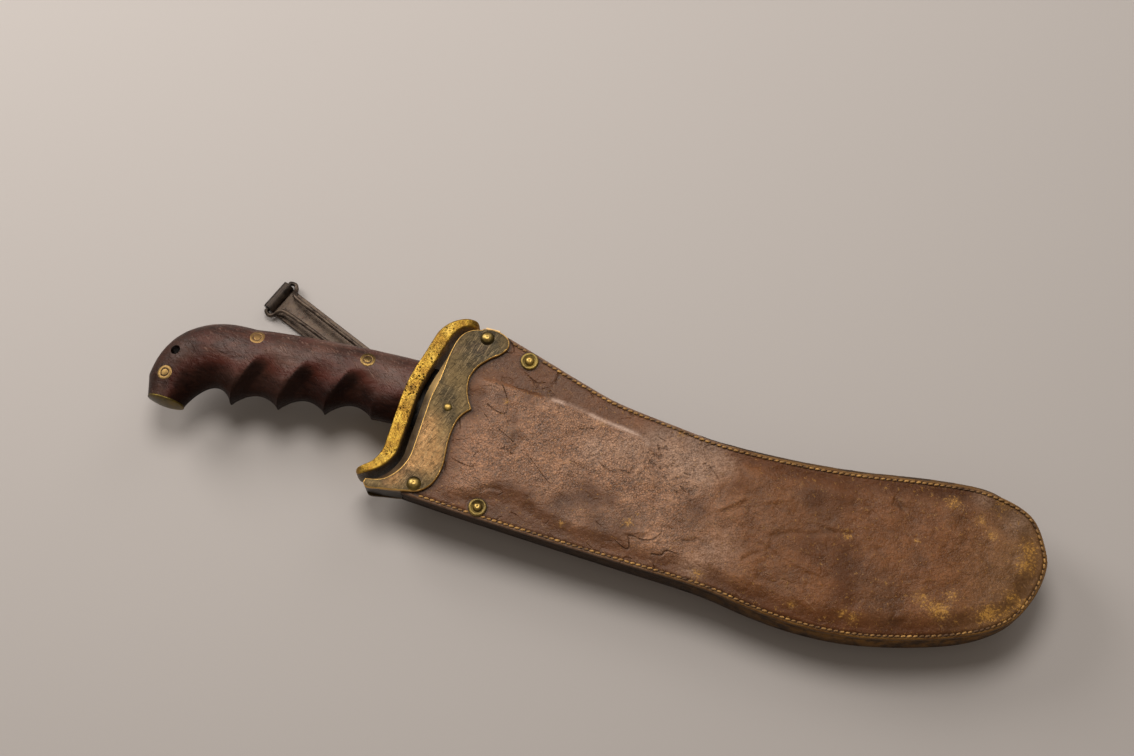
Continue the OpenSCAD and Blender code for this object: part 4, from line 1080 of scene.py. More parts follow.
class GripForm:
    """Stations of the grip from the guard to the butt: each has a lower and an upper point, a
    half thickness, a fullness of its section and a depth of its finger groove."""

    def __init__(self, s):
        ridge = [np.array([GRIP_X - RIDGE_FROM - k * RIDGE_STEP, -GRIP_LOW_Y - 1.4
                           - k * RIDGE_FALL]) for k in range(4)]
        back = np.array([GRIP_END_X + 3.2, BUTT_Y])
        fore = back + np.array([BUTT_D, 0])
        low, depth, shade = [], [], []

        def groove(a, b, count, d, last=False):
            t = np.linspace(0, 1, count, endpoint=last)
            rise = np.sin(np.pi * t) ** 0.8
            low.append(a + (b - a) * t[:, None] + np.stack([0 * t, d * rise], 1))
            # on the side faces a groove is steeper towards its left ridge, where the painted
            # shade lies
            depth.append(np.sin(np.pi * t ** 1.3))
            shade.append(ease((t - 0.30) / 0.52) * ease((1 - t) / 0.05))

        neck = np.array([GRIP_X + 3.0, -GRIP_LOW_Y])
        t = np.linspace(0, 1, NECK_STEPS, endpoint=False)
        low.append(neck + (ridge[0] - neck) * t[:, None])
        depth.append(0.55 * ease(1 - t * 1.1))
        shade.append(0.7 * ease(1 - t * 1.1))
        for k in range(3):
            groove(ridge[k], ridge[k + 1], GROOVE_STEPS, s["groove_d"])
        groove(ridge[3], fore, HOOK_STEPS, 1.65 * s["groove_d"], True)
        shade[-1] = shade[-1] * 0.6
        soft, crisp = (np.hanning(n) / np.hanning(n).sum() for n in (9, 5))
        self.low = np.vstack(low)
        self.depth, self.shade = (
            np.convolve(np.pad(np.concatenate(v), len(k) // 2, "edge"), k, "valid")
            for v, k in ((depth, soft), (shade, crisp)))
        n = len(self.low)
        self.hook = n - HOOK_STEPS
        share = np.clip((GRIP_X - self.low[:self.hook, 0])
                        / (GRIP_X - self.low[self.hook, 0]), -1, 1)
        x = GRIP_X + (BOW_X - GRIP_X) * share
        top = np.stack([x, GRIP_TOP_Y - GRIP_FALL * (0.45 * share + 0.55 * share ** 2)], 1)
        # the pommel's back: a quarter bow over its first share, then straight to the butt plate
        h = np.linspace(0, 1, HOOK_STEPS)
        bow_share = 0.86
        a = np.pi / 2 * np.minimum(1, h / bow_share)
        bow = np.stack([BOW_X - (BOW_X - GRIP_END_X) * np.sin(a) ** 0.88,
                        BOW_Y - BOW_H + BOW_H * np.maximum(np.cos(a), 0) ** 0.88], 1)
        end = np.array([GRIP_END_X, BOW_Y - BOW_H])
        tail = end + (back - end) * ((h - bow_share) / (1 - bow_share))[:, None]
        self.high = np.vstack([top, np.where((h < bow_share)[:, None], bow, tail)])
        t = np.arange(n) / (n - 1)
        self.half = (s["neck_t"] / 2 + (s["grip_t"] - s["neck_t"]) / 2 * np.sin(np.pi * t ** 0.8)
                     + (BUTT_D - s["neck_t"]) / 2 * ease((t - 0.8) / 0.2))
        self.full = 0.85 + 0.15 * ease((np.arange(n) - self.hook) / HOOK_STEPS)
        # each groove is shallower on the side faces of the pommel
        self.scoop = s["scoop"] * self.depth * (1 - 0.75 * ease((np.arange(n) - self.hook) / 60))

    def section(self, i, c):
        """Half thickness at station i (it may lie between two) and at share c of the height, from
        -1 at the lower line to 1 at the upper one, and how much painted shade it takes, in a
        groove and along the lower half."""
        k = np.arange(len(self.half))
        half, full = np.interp(i, k, self.half), np.interp(i, k, self.full)
        a = np.arccos(np.sign(c) * np.minimum(1, np.abs(c)) ** (1 / full))
        # the ridges lean, so a groove is met further on as the side face rises
        lean = i + 11 * (c + 1)
        scoop = np.interp(lean, k, self.scoop)
        side = np.maximum(np.sin(a), 0) ** full
        # painted shade lies in the grooves and, thinner, all along the lower half
        dirt = np.interp(lean - 2.5, k, self.shade) * ease((0.30 - c) / 0.75)
        return (half * side * (1 - scoop * ease((0.42 - c) / 1.15)),
                np.maximum(dirt, 0.7 * ease((0.2 - c) / 0.9)))

    def face(self, x, y):
        """Half thickness of the grip over any place: the two stations whose chords pass it on
        either side are found by the sign of a cross product, and blended."""
        p = np.stack([x.ravel(), y.ravel()], 1)[:, None, :]
        v = self.high - self.low
        w = p - self.low
        cross = v[:, 0] * w[..., 1] - v[:, 1] * w[..., 0]
        flip = np.argmax(cross[:, :-1] * cross[:, 1:] <= 0, axis=1)
        rows = np.arange(len(flip))
        a, b = cross[rows, flip], cross[rows, flip + 1]
        i = flip + a / np.where(a == b, 1, a - b)
        k = np.arange(len(self.half))
        low = np.stack([np.interp(i, k, self.low[:, j]) for j in range(2)], 1)
        high = np.stack([np.interp(i, k, self.high[:, j]) for j in range(2)], 1)
        middle, chord = (low + high) / 2, (high - low) / 2
        c = ((p[:, 0] - middle) * chord).sum(1) / (chord ** 2).sum(1)
        return self.section(i, c)[0].reshape(x.shape)


RING_STEPS = 72


def grip_scale(form, side):
    """One half of the grip: every station's half section, from the lower line round to the upper
    one, closed by its flat inner face. The seam between the halves is a fine groove."""
    n = len(form.low)
    i = np.arange(n)[:, None] + np.zeros(RING_STEPS + 1)
    a = np.pi * np.arange(RING_STEPS + 1) / RING_STEPS
    full = form.full[:, None]
    c = np.sign(-np.cos(a)) * np.abs(np.cos(a)) ** full
    half, hollow = form.section(i, c)
    middle, chord = (form.low + form.high) / 2, (form.high - form.low) / 2
    tuck = 1 - 0.012 * (1 - np.minimum(1, half / 0.5))
    xy = middle[:, None] + chord[:, None] * (c * tuck)[..., None]
    z = MID_Z + side * np.maximum(half, 0.02)
    x, y = xy[..., 0], xy[..., 1]
    dent = 0.14 * cloud(x, y, 7, 5) + 0.10 * cloud(x, y, 2.6, 6)
    for px, py in PINS:
        dent = dent * ease((np.hypot(x - px, y - py) - 4) / 4)
    z = z + side * dent * np.minimum(1, half / 3)
    outer = np.stack([xy[..., 0], xy[..., 1], z], -1)
    t = np.linspace(1, 0, 8)[1:-1][None, :, None]
    inner = outer[:, :1] + (outer[:, -1:] - outer[:, :1]) * t
    ring = np.concatenate([outer, inner], 1)
    hollow = np.concatenate([hollow, np.zeros(inner.shape[:2])], 1)
    m = ring.shape[1]
    points, ends = capped(ring.reshape(-1, 3), n, m)
    return points, [grid_faces(n, m, close_m=True), ends], np.append(hollow.ravel(), [0, 0])


class BOLO_OT_grip(bpy.types.Operator):
    """Builds the two walnut scales with their finger grooves and the lanyard hole"""
    bl_idname = "bolo.grip"
    bl_label = "Grip Scales"

    def execute(self, context):
        s = sizes("bolo_knife")
        form = GripForm(s)
        for side, name in ((1, "grip_scale_front"), (-1, "grip_scale_back")):
            points, faces, hollow = grip_scale(form, side)
            made = piece("walnut_" + name, points, faces, [finish_of("wood")], "knife",
                         (name,), {"hollow": hollow}, smooth_angle=50)
            z0, z1 = (MID_Z - 2, MID_Z + 16) if side > 0 else (MID_Z - 16, MID_Z + 2)
            bored(made, [LANYARD], s["lanyard_d"], z0, z1)
            made.data.set_sharp_from_angle(angle=math.radians(50))
        return {"FINISHED"}


class BOLO_OT_pins(bpy.types.Operator):
    """Builds the brass pins and their washers, flush with the curved wood"""
    bl_idname = "bolo.pins"
    bl_label = "Grip Pins"

    def execute(self, context):
        s = sizes("bolo_knife")
        form = GripForm(s)
        r0, r1 = s["pin_d"] / 2, s["rove_d"] / 2
        discs = {
            "grip_pins": ([(0.001, 0.16), (0.6, 0.16), (1.2, 0.13), (r0 - 0.3, 0.10),
                           (r0 - 0.05, 0.02), (r0, -0.12), (r0, -2.0), (0.001, -2.0)], False),
            "grip_roves": ([(r0 + 0.12, -2.0), (r0 + 0.12, -0.16), (r0 + 0.26, 0.02),
                            (r0 + 0.7, 0.10), (r1 - 0.5, 0.10), (r1 - 0.15, 0.05),
                            (r1, -0.06), (r1, -2.0)], True)}
        for node, (profile, ring) in discs.items():
            rows, faces = [], []
            quads = grid_faces(len(profile), PIN_STEPS, close_n=ring, close_m=True)
            for side in (1, -1):
                for px, py in PINS:
                    points = turned(profile, (px, py), PIN_STEPS)
                    points[:, 2] = MID_Z + side * (form.face(*points[:, :2].T) + points[:, 2])
                    faces.append(quads + len(points) * len(rows))
                    rows.append(points)
            rub = np.full(len(points) * len(rows), 0.35)
            piece("brass_" + node, np.vstack(rows), [np.vstack(faces)], [finish_of("pin")],
                  "knife", (node,), {"rub": rub}, smooth_angle=60)
        return {"FINISHED"}


class BOLO_OT_guard(bpy.types.Operator):
    """Builds the S-curved brass guard with worn edges and rounded tips"""
    bl_idname = "bolo.guard"
    bl_label = "Guard"

    def execute(self, context):
        s = sizes("bolo_knife")
        line = guard_line()
        half = guard_half(line, s)
        d = direction(line)
        # the tips run on by their own radius, as a quarter round in the plane of the guard
        steps = np.array([0.0, 0.03, 0.1, 0.2, 0.34, 0.5, 0.7, 0.9])
        r0, r1 = half[0], half[-1]
        head = line[0] - d[0] * r0 * (1 - steps)[:, None]
        tail = line[-1] + d[-1] * r1 * (1 - steps[::-1])[:, None]
        path = np.vstack([head, line, tail])
        thick = np.concatenate([r0 * np.sqrt(1 - (1 - steps) ** 2), half,
                                r1 * np.sqrt(1 - (1 - steps[::-1]) ** 2)])
        s_run = run_of(path)
        corner = 7.0
        reach = np.minimum(s_run, s_run[-1] - s_run)
        into = np.minimum(reach, corner)
        width = s["guard_w"] / 2 - corner + np.sqrt(corner ** 2 - (corner - into) ** 2 + 1e-6)
        dd = direction(path)
        flat = np.zeros(len(path))
        across = np.stack([dd[:, 1], -dd[:, 0], flat], 1)
        path3 = np.column_stack([path, flat + MID_Z])
        points, faces, share = carried(path3, np.array([0, 0, 1.0]), across, width, thick,
                                       s["guard_round"], 26, 8)
        # dents and casting hollows, a few tenths of a millimetre deep
        where = points[:, 1] + points[:, 0]
        dent = 0.10 * cloud(where, points[:, 2], 5, 11) + 0.05 * cloud(where, points[:, 2], 2, 12)
        points[:, 0] += np.sign(share) * dent
        face = np.abs(points[:, 2] - MID_Z) > s["guard_w"] / 2 - 0.6
        points[:, 2] -= np.sign(points[:, 2] - MID_Z) * face * np.abs(
            0.22 * cloud(points[:, 1], points[:, 0], 4, 13))
        # painted shade on the side face, less of it towards the upper tip; the wall value also
        # lowers the metal there
        wall = ease((share - 0.9) / 0.09)
        shade = wall * (1 - 0.8 * ease((points[:, 1] - 18) / 12))
        piece("cast_guard", points, faces, [finish_of("brass")], "knife",
              ("guard",), {"wall": wall, "shade": shade}, smooth_angle=60)
        return {"FINISHED"}


class BOLO_OT_blade(bpy.types.Operator):
    """Finishes the blade and its tang, and the brass on the foot of the pommel"""
    bl_idname = "bolo.blade"
    bl_label = "Blade and Butt"

    def execute(self, context):
        softened("blade", finish_of("blade"), 0.2)
        softened("butt_plate", finish_of("butt"), 0.15)
        return {"FINISHED"}


# ---------------------------------------------------------------- leather
# where the leather is creased down along the blade's spine
RIDGE = np.array([(20, 21.5), (43.9, 20.7), (59, 20), (72.6, 17.7), (86, 16.4), (93.7, 15.2),
                  (98.7, 12.3), (104, 7)])
# pressed creases: points, depth and width; a negative depth is a small fold that stands up
CREASES = (
    ([(205, -2), (195, -4.3), (186, -8), (178.6, -9.3), (167.5, -14.2)], 0.35, 1.1),
    ([(163.4, -17.5), (174, -21.5), (185.1, -24.7), (196, -26)], -0.35, 0.9),
    ([(158.3, -29.3), (160.8, -26.4), (164.5, -24.5)], 0.45, 0.9),
    ([(139.5, -9.3), (145, -5.1), (150.4, -0.4)], -0.6, 1.2),
    ([(162.4, 1.6), (166.8, 3.8), (172.1, 5.8)], -0.4, 1.0),
    ([(143.9, 17.3), (145.6, 14.3), (148.2, 10.7)], 0.45, 1.0),
    ([(140.1, -2.2), (139.9, 1.2), (140.8, 4.1)], 0.45, 1.0),
    ([(110.7, 3.6), (113.6, 5.2), (117.5, 6.2)], 0.5, 0.9),
    ([(114.8, -25.5), (119.7, -24.9), (124.1, -25.7)], 0.35, 1.0),
    ([(128.4, -29.2), (131.4, -28.1), (133.6, -27.1)], 0.7, 0.9),
    ([(100.4, -33.4), (105.8, -31.7), (110.2, -29.5)], -0.5, 1.2),
    ([(118, -20), (131, -25), (141, -29)], 0.25, 1.6),
    ([(96, 12), (104, 3), (109, -8), (112, -20)], 0.3, 2.4),
    ([(36.2, -11.2), (38.3, -7), (39.6, -3.1)], 0.7, 1.3),
    ([(51.1, -1.4), (58.8, -4.3), (64.9, -7.7), (71.3, -9.3)], 0.45, 1.1),
    ([(30.8, 3.1), (35.5, -0.8), (36, -7.8)], 0.5, 2.2),
    ([(27.9, -33.1), (31.5, -31.1), (36, -30.6)], 0.5, 1.3),
    ([(5.5, 9.7), (13.6, 14), (21.7, 21)], 0.35, 2.6),
    ([(60, 5), (72, 9), (84, 6)], 0.25, 2.0),
    ([(189.4, -3.1), (193.6, -3.1), (197.1, -3.8)], 0.5, 0.9),
    ([(210.3, 19.2), (216.1, 19.3), (222.4, 17.3)], 0.3, 1.0),
    ([(218.2, -5.9), (222.3, -8.9), (226.1, -11.1)], 0.35, 0.9),
    ([(221.6, 20.4), (223.7, 19), (226, 17)], 0.8, 1.3))
# smooth dark places, places rubbed through to pale tan, and oil stains: x, y and radius
DULL = np.array([
    (58.2, 23.4, 3.4), (68.9, 22.4, 3.6), (79.7, 21, 3.4), (90.3, 19.5, 3), (100.8, 18, 3),
    (34.9, -29, 4.5), (41.8, -28.4, 5), (50, -30.1, 5.5), (60.5, -34.7, 6), (69.6, -39.7, 6),
    (81.8, -43.1, 5), (96.2, -44.4, 4), (111.8, -46.7, 4), (11.9, 14, 4), (23.7, 14.3, 4.5),
    (32.7, 5.3, 3), (35.7, -2.4, 2.6), (78.1, -17.8, 5), (89.8, -19.5, 4), (72.6, -24.7, 5),
    (131, -12, 6), (146, 6, 6), (85, -34, 7), (100, -29, 7), (82, -22, 6), (66, -27, 5),
    (96, -38, 6), (52, -42, 4.5), (104, 25, 4), (90, 22, 4), (36, 18, 3.5), (38, -42, 5),
    (184, 9, 7), (197, 14, 8), (187, -14, 8), (203, -11, 8), (206, -24, 8), (209, -34, 6)])
RUBBED = np.array([
    (243.6, -22.7, 4), (251, -26.3, 4.6), (255.7, -25.7, 4), (257.8, -17.5, 3), (274.4, -22.4, 4),
    (277.7, -19.3, 4), (284.4, -9.3, 3.4), (288.1, 7, 5), (288.6, 15.6, 5.5), (272, 34.6, 4),
    (262.5, 22.2, 3.4), (248.1, 27.3, 4), (209.7, -40.5, 2.4), (214.9, -41.5, 2.6),
    (203.3, -4, 2), (290.6, -11.6, 3.4), (284.8, -18.4, 3.6), (235.6, 3.7, 1.6),
    (269.4, 17.4, 3), (138.8, -42.5, 3), (100.2, -28.3, 2.4), (112.8, 22.8, 2.4),
    (186, -43.6, 2.2), (74.6, 16.5, 2.2), (25.9, 13.2, 1.6), (69.6, -38.1, 1.6)])
STAINS = np.array([
    (223.7, 19, 2.4), (192, -0.2, 6), (227.1, -28.5, 10), (231.1, -36, 8), (273.9, 26.6, 9),
    (251.4, 20.5, 6), (209.5, 26, 7), (238.1, -3.2, 6), (258.1, -29.1, 6), (158, 6, 8),
    (189.9, -1.7, 6), (130.8, -19.8, 5), (180.9, -33.4, 7), (126.6, -28.8, 5), (71.5, -45, 5),
    (105.5, -24.9, 6), (33, -1, 5), (292, -4, 7), (87, -33, 9), (101, -29, 7), (70, -30, 7),
    (50, -43, 7), (37, -43, 6), (34, 16, 4), (180, 8, 7), (197, 13, 7), (203, -12, 7)])
# places of painted sheen: x, y and radius
SHEEN = np.array([(100.8, 17.5, 5), (108.3, 17.9, 6), (118.6, 16.9, 8), (128.9, 15.3, 8),
                  (116.4, 8.7, 8), (127.8, 6.6, 9), (138.4, 13.5, 6), (91, 8, 8), (74, 2, 7),
                  (145, -28, 9), (135, -40, 7), (262, 34, 5), (280, 27, 5), (5, -4, 4)])


def spots(x, y, table):
    """Sum of round soft spots: each is a bell curve of the distance from its middle."""
    d = np.hypot(x[..., None] - table[:, 0], y[..., None] - table[:, 1]) / table[:, 2]
    return np.exp(-d ** 2).sum(-1)


def leather_height(x, y, d, swell, thread, plate):
    """Relief of a leather side: a low rise over the blade that ends at the seam, at the spine's
    ridge and at the throat plate, a channel under the thread, long waves, wrinkles and
    creases."""
    line_y = np.interp(x, RIDGE[:, 0], RIDGE[:, 1])
    below = ease((line_y + 1.5 - y) / 3.2)
    fades = ease((x - 92) / 20)
    start = np.where(y < 0, fold_edge(x), 4.5)
    over_blade = (ease((d - start) / 8.5) * (below + (1 - below) * fades)
                  * ease((distance_to(x, y, plate) - 0.5) / 13))
    z = swell * over_blade
    channel = distance_to(x, y, thread)
    z = z - 0.42 * np.exp(-(channel / 0.95) ** 2)
    calm = ease(d / 5)
    wrinkled = ease((x - 70) / 50) * (0.35 + 0.65 * ease((215 - x) / 40))
    creased = (0.22 * (1 - np.abs(cloud(x * 0.8 + y * 0.35, y - x * 0.2, 13, 51))) ** 6
               + 0.14 * (1 - np.abs(cloud(x * 0.6 - y * 0.3, y + x * 0.3, 6, 52))) ** 6)
    z = z + calm * (0.42 * cloud(x, y, 27, 1) + 0.24 * cloud(x, y, 10, 2)
                    + 0.09 * cloud(x * 0.7 + y * 0.4, y - x * 0.25, 3.6, 3)
                    + 0.045 * cloud(x, y, 1.7, 4) - wrinkled * creased)
    crease_shade = np.zeros(x.shape)
    for points, depth, width in CREASES:
        near = np.exp(-(distance_to(x, y, through(points, 6)) / width) ** 2)
        z = z - depth * calm * near
        crease_shade = np.maximum(crease_shade, max(depth, 0) * near)
    return z, channel, over_blade, crease_shade


def leather_outline(edge, rim):
    """Splits a side's outline into the four edges of a patch. The left edge follows the throat,
    behind the mouthpiece, and the right edge is the turn of the nose."""
    split = np.argmin(np.abs(edge[:, 0] - NOSE_X) + 0.02 * np.abs(edge[:, 1]))
    top, low = edge[:split + 1], edge[split:]
    mouth = rim[(rim[:, 1] > -38.6) & (rim[:, 1] < 43)] + np.array([MOUTH_D + 0.1, 0])
    foot = np.array([(-9.5, -46.2), (-9.5, -38.6)])
    left = np.vstack([foot, mouth[mouth[:, 0] > -12]])
    corner_x = left[-1, 0] + 2
    top = top[top[:, 0] > corner_x]
    left = np.vstack([left, top[:1]])
    low = low[low[:, 0] > left[0, 0]]
    left = np.vstack([[left[0, 0], low[-1, 1]], left[1:]])
    low = np.vstack([low, left[:1]])
    # the nose's edge takes this much of the outline on either side of its end
    cut = 18.0
    nose_top = top[run_of(top[::-1])[::-1] <= cut]
    nose_low = low[run_of(low) <= cut]
    right = np.vstack([nose_low[::-1], nose_top[::-1][1:]])
    top = top[:len(top) - len(nose_top) + 1]
    low = low[len(nose_low) - 1:]
    return low[::-1], top, left, right


def thread_line(edge):
    """Line of the stitches: the front's outline moved in, from one side of the throat plate
    round the nose to the other."""
    line = beside(front_edge(edge), np.full(len(edge), THREAD_IN))
    x, y = line.T
    return line[((y > 0) & (x > 19.5)) | ((y < 0) & (x > -3.5))]


class BOLO_OT_leather(bpy.types.Operator):
    """Builds the two leather sides and the welt between them"""
    bl_idname = "bolo.leather"
    bl_label = "Leather"

    def execute(self, context):
        s, k = sizes("bolo_scabbard"), sizes("bolo_knife")
        edge, rim = sheath_edge(), rim_line(k)
        thread, plate = thread_line(edge), plate_free_edge(rim)
        for node, outline, face, other, counts in (
                ("leather_front", front_edge(edge), PLATE_Z, FRONT_Z, (520, 150)),
                ("leather_back", edge, BACK_Z, WELT_Z, (420, 110))):
            low, top, left, right = leather_outline(outline, rim)
            u, v = graded(counts[0], 0.25, 300), graded(counts[1], 0.2, 75)
            x, y = patch(low, top, left, right, u, v)
            loop = np.vstack([low, right[1:], top[::-1][1:], left[::-1][1:]])
            loop = at_share(loop, np.linspace(0, 1, 420))
            outer = np.vstack([low, right[1:], top[::-1][1:]])
            d = distance_to(x, y, at_share(outer, np.linspace(0, 1, 360)))
            front = node == "leather_front"
            height, channel, rise, crease_shade = leather_height(
                x, y, d, s["swell"] if front else 0.5, thread, plate)
            heads = np.min([np.hypot(x - a, y - b) for a, b in LEATHER_RIVETS], axis=0)
            height = height * ease((heads - 3.5) / 4)
            points, faces, _ = slab(x, y, loop, face, other, s["leather_round"], height,
                                    ((0.25, 0.05), (0.6, -0.05), (1.0, 0.02)))
            tail = len(points) - x.size
            # painted highlight along the crease over the spine, broken by noise and faded at both
            # ends
            ridge = (np.exp(-(distance_to(x, y, through(RIDGE[1:-1], 8)) / 1.1) ** 2)
                     * ease((x - 32) / 20) * ease((106 - x) / 8)
                     * np.clip(0.8 + 0.6 * cloud(x, y, 5, 9), 0, 1))
            dull = spots(x, y, DULL) * front
            # a painted shadow beside the throat plate and painted shade round the rivet heads
            shadow = np.exp(-(np.maximum(distance_to(x, y, plate) - 0.3, 0) / 0.9) ** 2)
            rivet_shade = np.exp(-(np.maximum(heads - 4.4, 0) / 0.9) ** 2)
            tags = {"edge": d, "gold": spots(x, y, RUBBED),
                    "pressed": np.minimum(1, 1 - rise + 0.9 * dull),
                    "stain": np.minimum(0.6, 0.55 * spots(x, y, STAINS)),
                    # painted sheen on the listed places, on the front only
                    "sheen": 0.29 * np.minimum(1, spots(x, y, SHEEN)) * front,
                    "rubbed": ridge * (0.8 if front else 0),
                    # painted shade in the thread's channel and the creases, and beside the plate
                    # and the rivet heads
                    "dirt": np.maximum.reduce([0.8 * np.exp(-(channel / 0.8) ** 2),
                                               0.4 * crease_shade, 0.8 * shadow, 0.75 * rivet_shade])}
            tags = {key: np.append(value.ravel(), np.zeros(tail))
                    for key, value in tags.items()}
            piece("tanned_" + node, points, faces, [finish_of("leather"), finish_of("edge")],
                  "scabbard", (node,), tags, seconds=(1, 2))
        self.welt(s, edge)
        return {"FINISHED"}

    def welt(self, s, edge):
        """The welt: a strip carried along the outline, whose outer face leans from the back
        side's edge to the front's and shows where its layers meet."""
        front = front_edge(edge)
        line = front * 0.5 + edge * 0.5
        kept = (line[:, 0] > -9) & ((line[:, 1] < 0) | (line[:, 0] > 15))
        line = line[kept]
        d = direction(line)
        inward = np.stack([d[:, 1], -d[:, 0]], 1)
        z = np.array([0, 0.04, 0.31, 0.335, 0.36, 0.64, 0.665, 0.69, 0.96, 1.0, 1.0, 0.0])
        back = np.array([0.06, 0.0, 0.0, 0.02, 0.0, 0.0, 0.02, 0.0, 0.0, 0.06, 0, 0])
        back[-2:] = s["seam_w"]
        run = run_of(line)
        wave = 0.16 * cloud(run[:, None] + 0 * back, z * 30 + 0 * run[:, None], 5, 21)
        wave[:, -2:] = 0
        lean = edge[kept][:, None] * (1 - z)[:, None] + front[kept][:, None] * z[:, None]
        flat = lean + inward[:, None] * (back + wave)[..., None]
        height = np.broadcast_to(WELT_Z + 0.05 + z * (FRONT_Z - WELT_Z - 0.1), flat.shape[:2])
        ring = np.concatenate([flat, height[..., None]], -1)
        n, m = ring.shape[:2]
        points, ends = capped(ring.reshape(-1, 3), n, m)
        piece("layered_welt", points, [grid_faces(n, m, close_m=True), ends],
              [finish_of("edge")], "scabbard", ("leather_welt",))


class BOLO_OT_stitching(bpy.types.Operator):
    """Sews the seam: one short stitch after another, half sunk in the channel on both sides"""
    bl_idname = "bolo.stitching"
    bl_label = "Stitching"

    def execute(self, context):
        s = sizes("bolo_scabbard")
        line = thread_line(sheath_edge())
        run = run_of(line)
        count = int(run[-1] // s["stitch_pitch"])
        middle = (np.arange(count) + 0.5) * s["stitch_pitch"]
        p = np.stack([np.interp(middle, run, line[:, k]) for k in range(2)], 1)
        d = direction(p)
        heads = np.min([np.hypot(*(p - place).T) for place in LEATHER_RIVETS], axis=0)
        p, d = p[heads > 5.4], d[heads > 5.4]
        count = len(p)
        rng = np.random.default_rng(8)
        turn = np.radians(9 + rng.normal(0, 3, count))
        c, sn = np.cos(turn), np.sin(turn)
        d = np.stack([d[:, 0] * c - d[:, 1] * sn, d[:, 0] * sn + d[:, 1] * c], 1)
        side = np.stack([-d[:, 1], d[:, 0]], 1)
        # a stitch is a tube whose radius follows an ellipse, bowed up between its two holes
        rows, sides = 8, 7
        t = np.linspace(-1, 1, rows)[:, None]
        a = np.linspace(0, 2 * np.pi, sides, endpoint=False)[None, :]
        r = 0.5 * s["stitch_d"] * np.maximum(1 - t ** 4, 0.03) ** 0.5
        along = t * s["stitch_l"] / 2 + 0 * a
        across, up = r * np.cos(a), r * np.sin(a) * 0.8 + 0.28 * (1 - t ** 2) - 0.18
        shape = np.stack([along, across, up], -1).reshape(-1, 3)
        scale = 1 + rng.uniform(-0.1, 0.08, count)[:, None]
        points = []
        for face, sign in ((PLATE_Z - 0.05, 1), (BACK_Z + 0.05, -1)):
            flat = (p[:, None] + d[:, None] * (shape[:, 0] * scale)[..., None]
                    + side[:, None] * (shape[:, 1] * scale)[..., None])
            z = face + sign * (shape[:, 2] * scale)
            points.append(np.concatenate([flat, z[..., None]], -1).reshape(-1, 3))
        one = grid_faces(rows, sides, close_m=True)
        k = np.arange(sides)
        ends = np.stack([k[:-2] * 0, k[1:-1], k[2:]], 1)
        ends = np.vstack([ends, (rows - 1) * sides + ends])
        offset = np.arange(2 * count)[:, None, None] * rows * sides
        piece("sewn_seam", np.vstack(points), [(one[None] + offset).reshape(-1, 4),
                                               (ends[None] + offset).reshape(-1, 3)],
              [finish_of("thread")], "scabbard", ("seam_thread",), smooth_angle=80)
        return {"FINISHED"}


# ---------------------------------------------------------------- throat
# dull places on the throat plate: x, y and radius
PLATE_STAINS = np.array([(7, 41, 10), (4, 30, 9), (-0.6, 1.5, 4.5), (-2, 8, 4.5),
                         (-4.4, -40, 6.5), (-12, -38, 5), (3, -3, 3)])
PLATE_COPPER = np.array([(-7, -20, 8), (-8, -10, 6), (0, -26, 7), (-10, -29, 5), (-14, -40, 4)])


class BOLO_OT_throat(bpy.types.Operator):
    """Builds the two brass throat plates and finishes the mouthpiece and the spring"""
    bl_idname = "bolo.throat"
    bl_label = "Throat"

    def execute(self, context):
        s, k = sizes("bolo_scabbard"), sizes("bolo_knife")
        rim = rim_line(k)
        free = plate_free_edge(rim)
        low_end = 25
        foot, right, left = free[:low_end + 1], free[low_end:], rim
        top = np.vstack([rim[-1:], free[-1:]])
        u, v = graded(90, 0.12, 26), graded(260, 0.12, 95)
        for node, face, other in (("throat_front_plate", THROAT_Z, PLATE_Z),
                                  ("throat_back_plate", BACK_Z - (THROAT_Z - PLATE_Z), BACK_Z)):
            x, y = patch(np.vstack([rim[:1], foot]), top, left, right, u, v)
            loop = np.vstack([rim[:1], foot, right[1:], rim[::-1]])
            d = distance_to(x, y, loop)
            wave = (0.10 * cloud(x, y, 12, 31) + 0.05 * cloud(x, y, 4, 32)) * ease(d / 3)
            points, faces, edge = slab(x, y, loop, face, other, s["plate_round"], wave,
                                       ((0.5, 0.0), (1.0, 0.05)))
            stain = np.minimum(0.8, spots(points[:, 0], points[:, 1], PLATE_STAINS))
            copper = np.minimum(0.9, spots(points[:, 0], points[:, 1], PLATE_COPPER))
            edge = edge + 3 * (node == "throat_back_plate")
            piece("brass_" + node, points, faces, [finish_of("sheet")], "scabbard",
                  (node,), {"edge": edge, "stain": stain, "copper": copper})
        softened("throat_mouthpiece", finish_of("mouth"), 0.3)
        softened("blade_spring", finish_of("mouth"), 0.0)
        return {"FINISHED"}


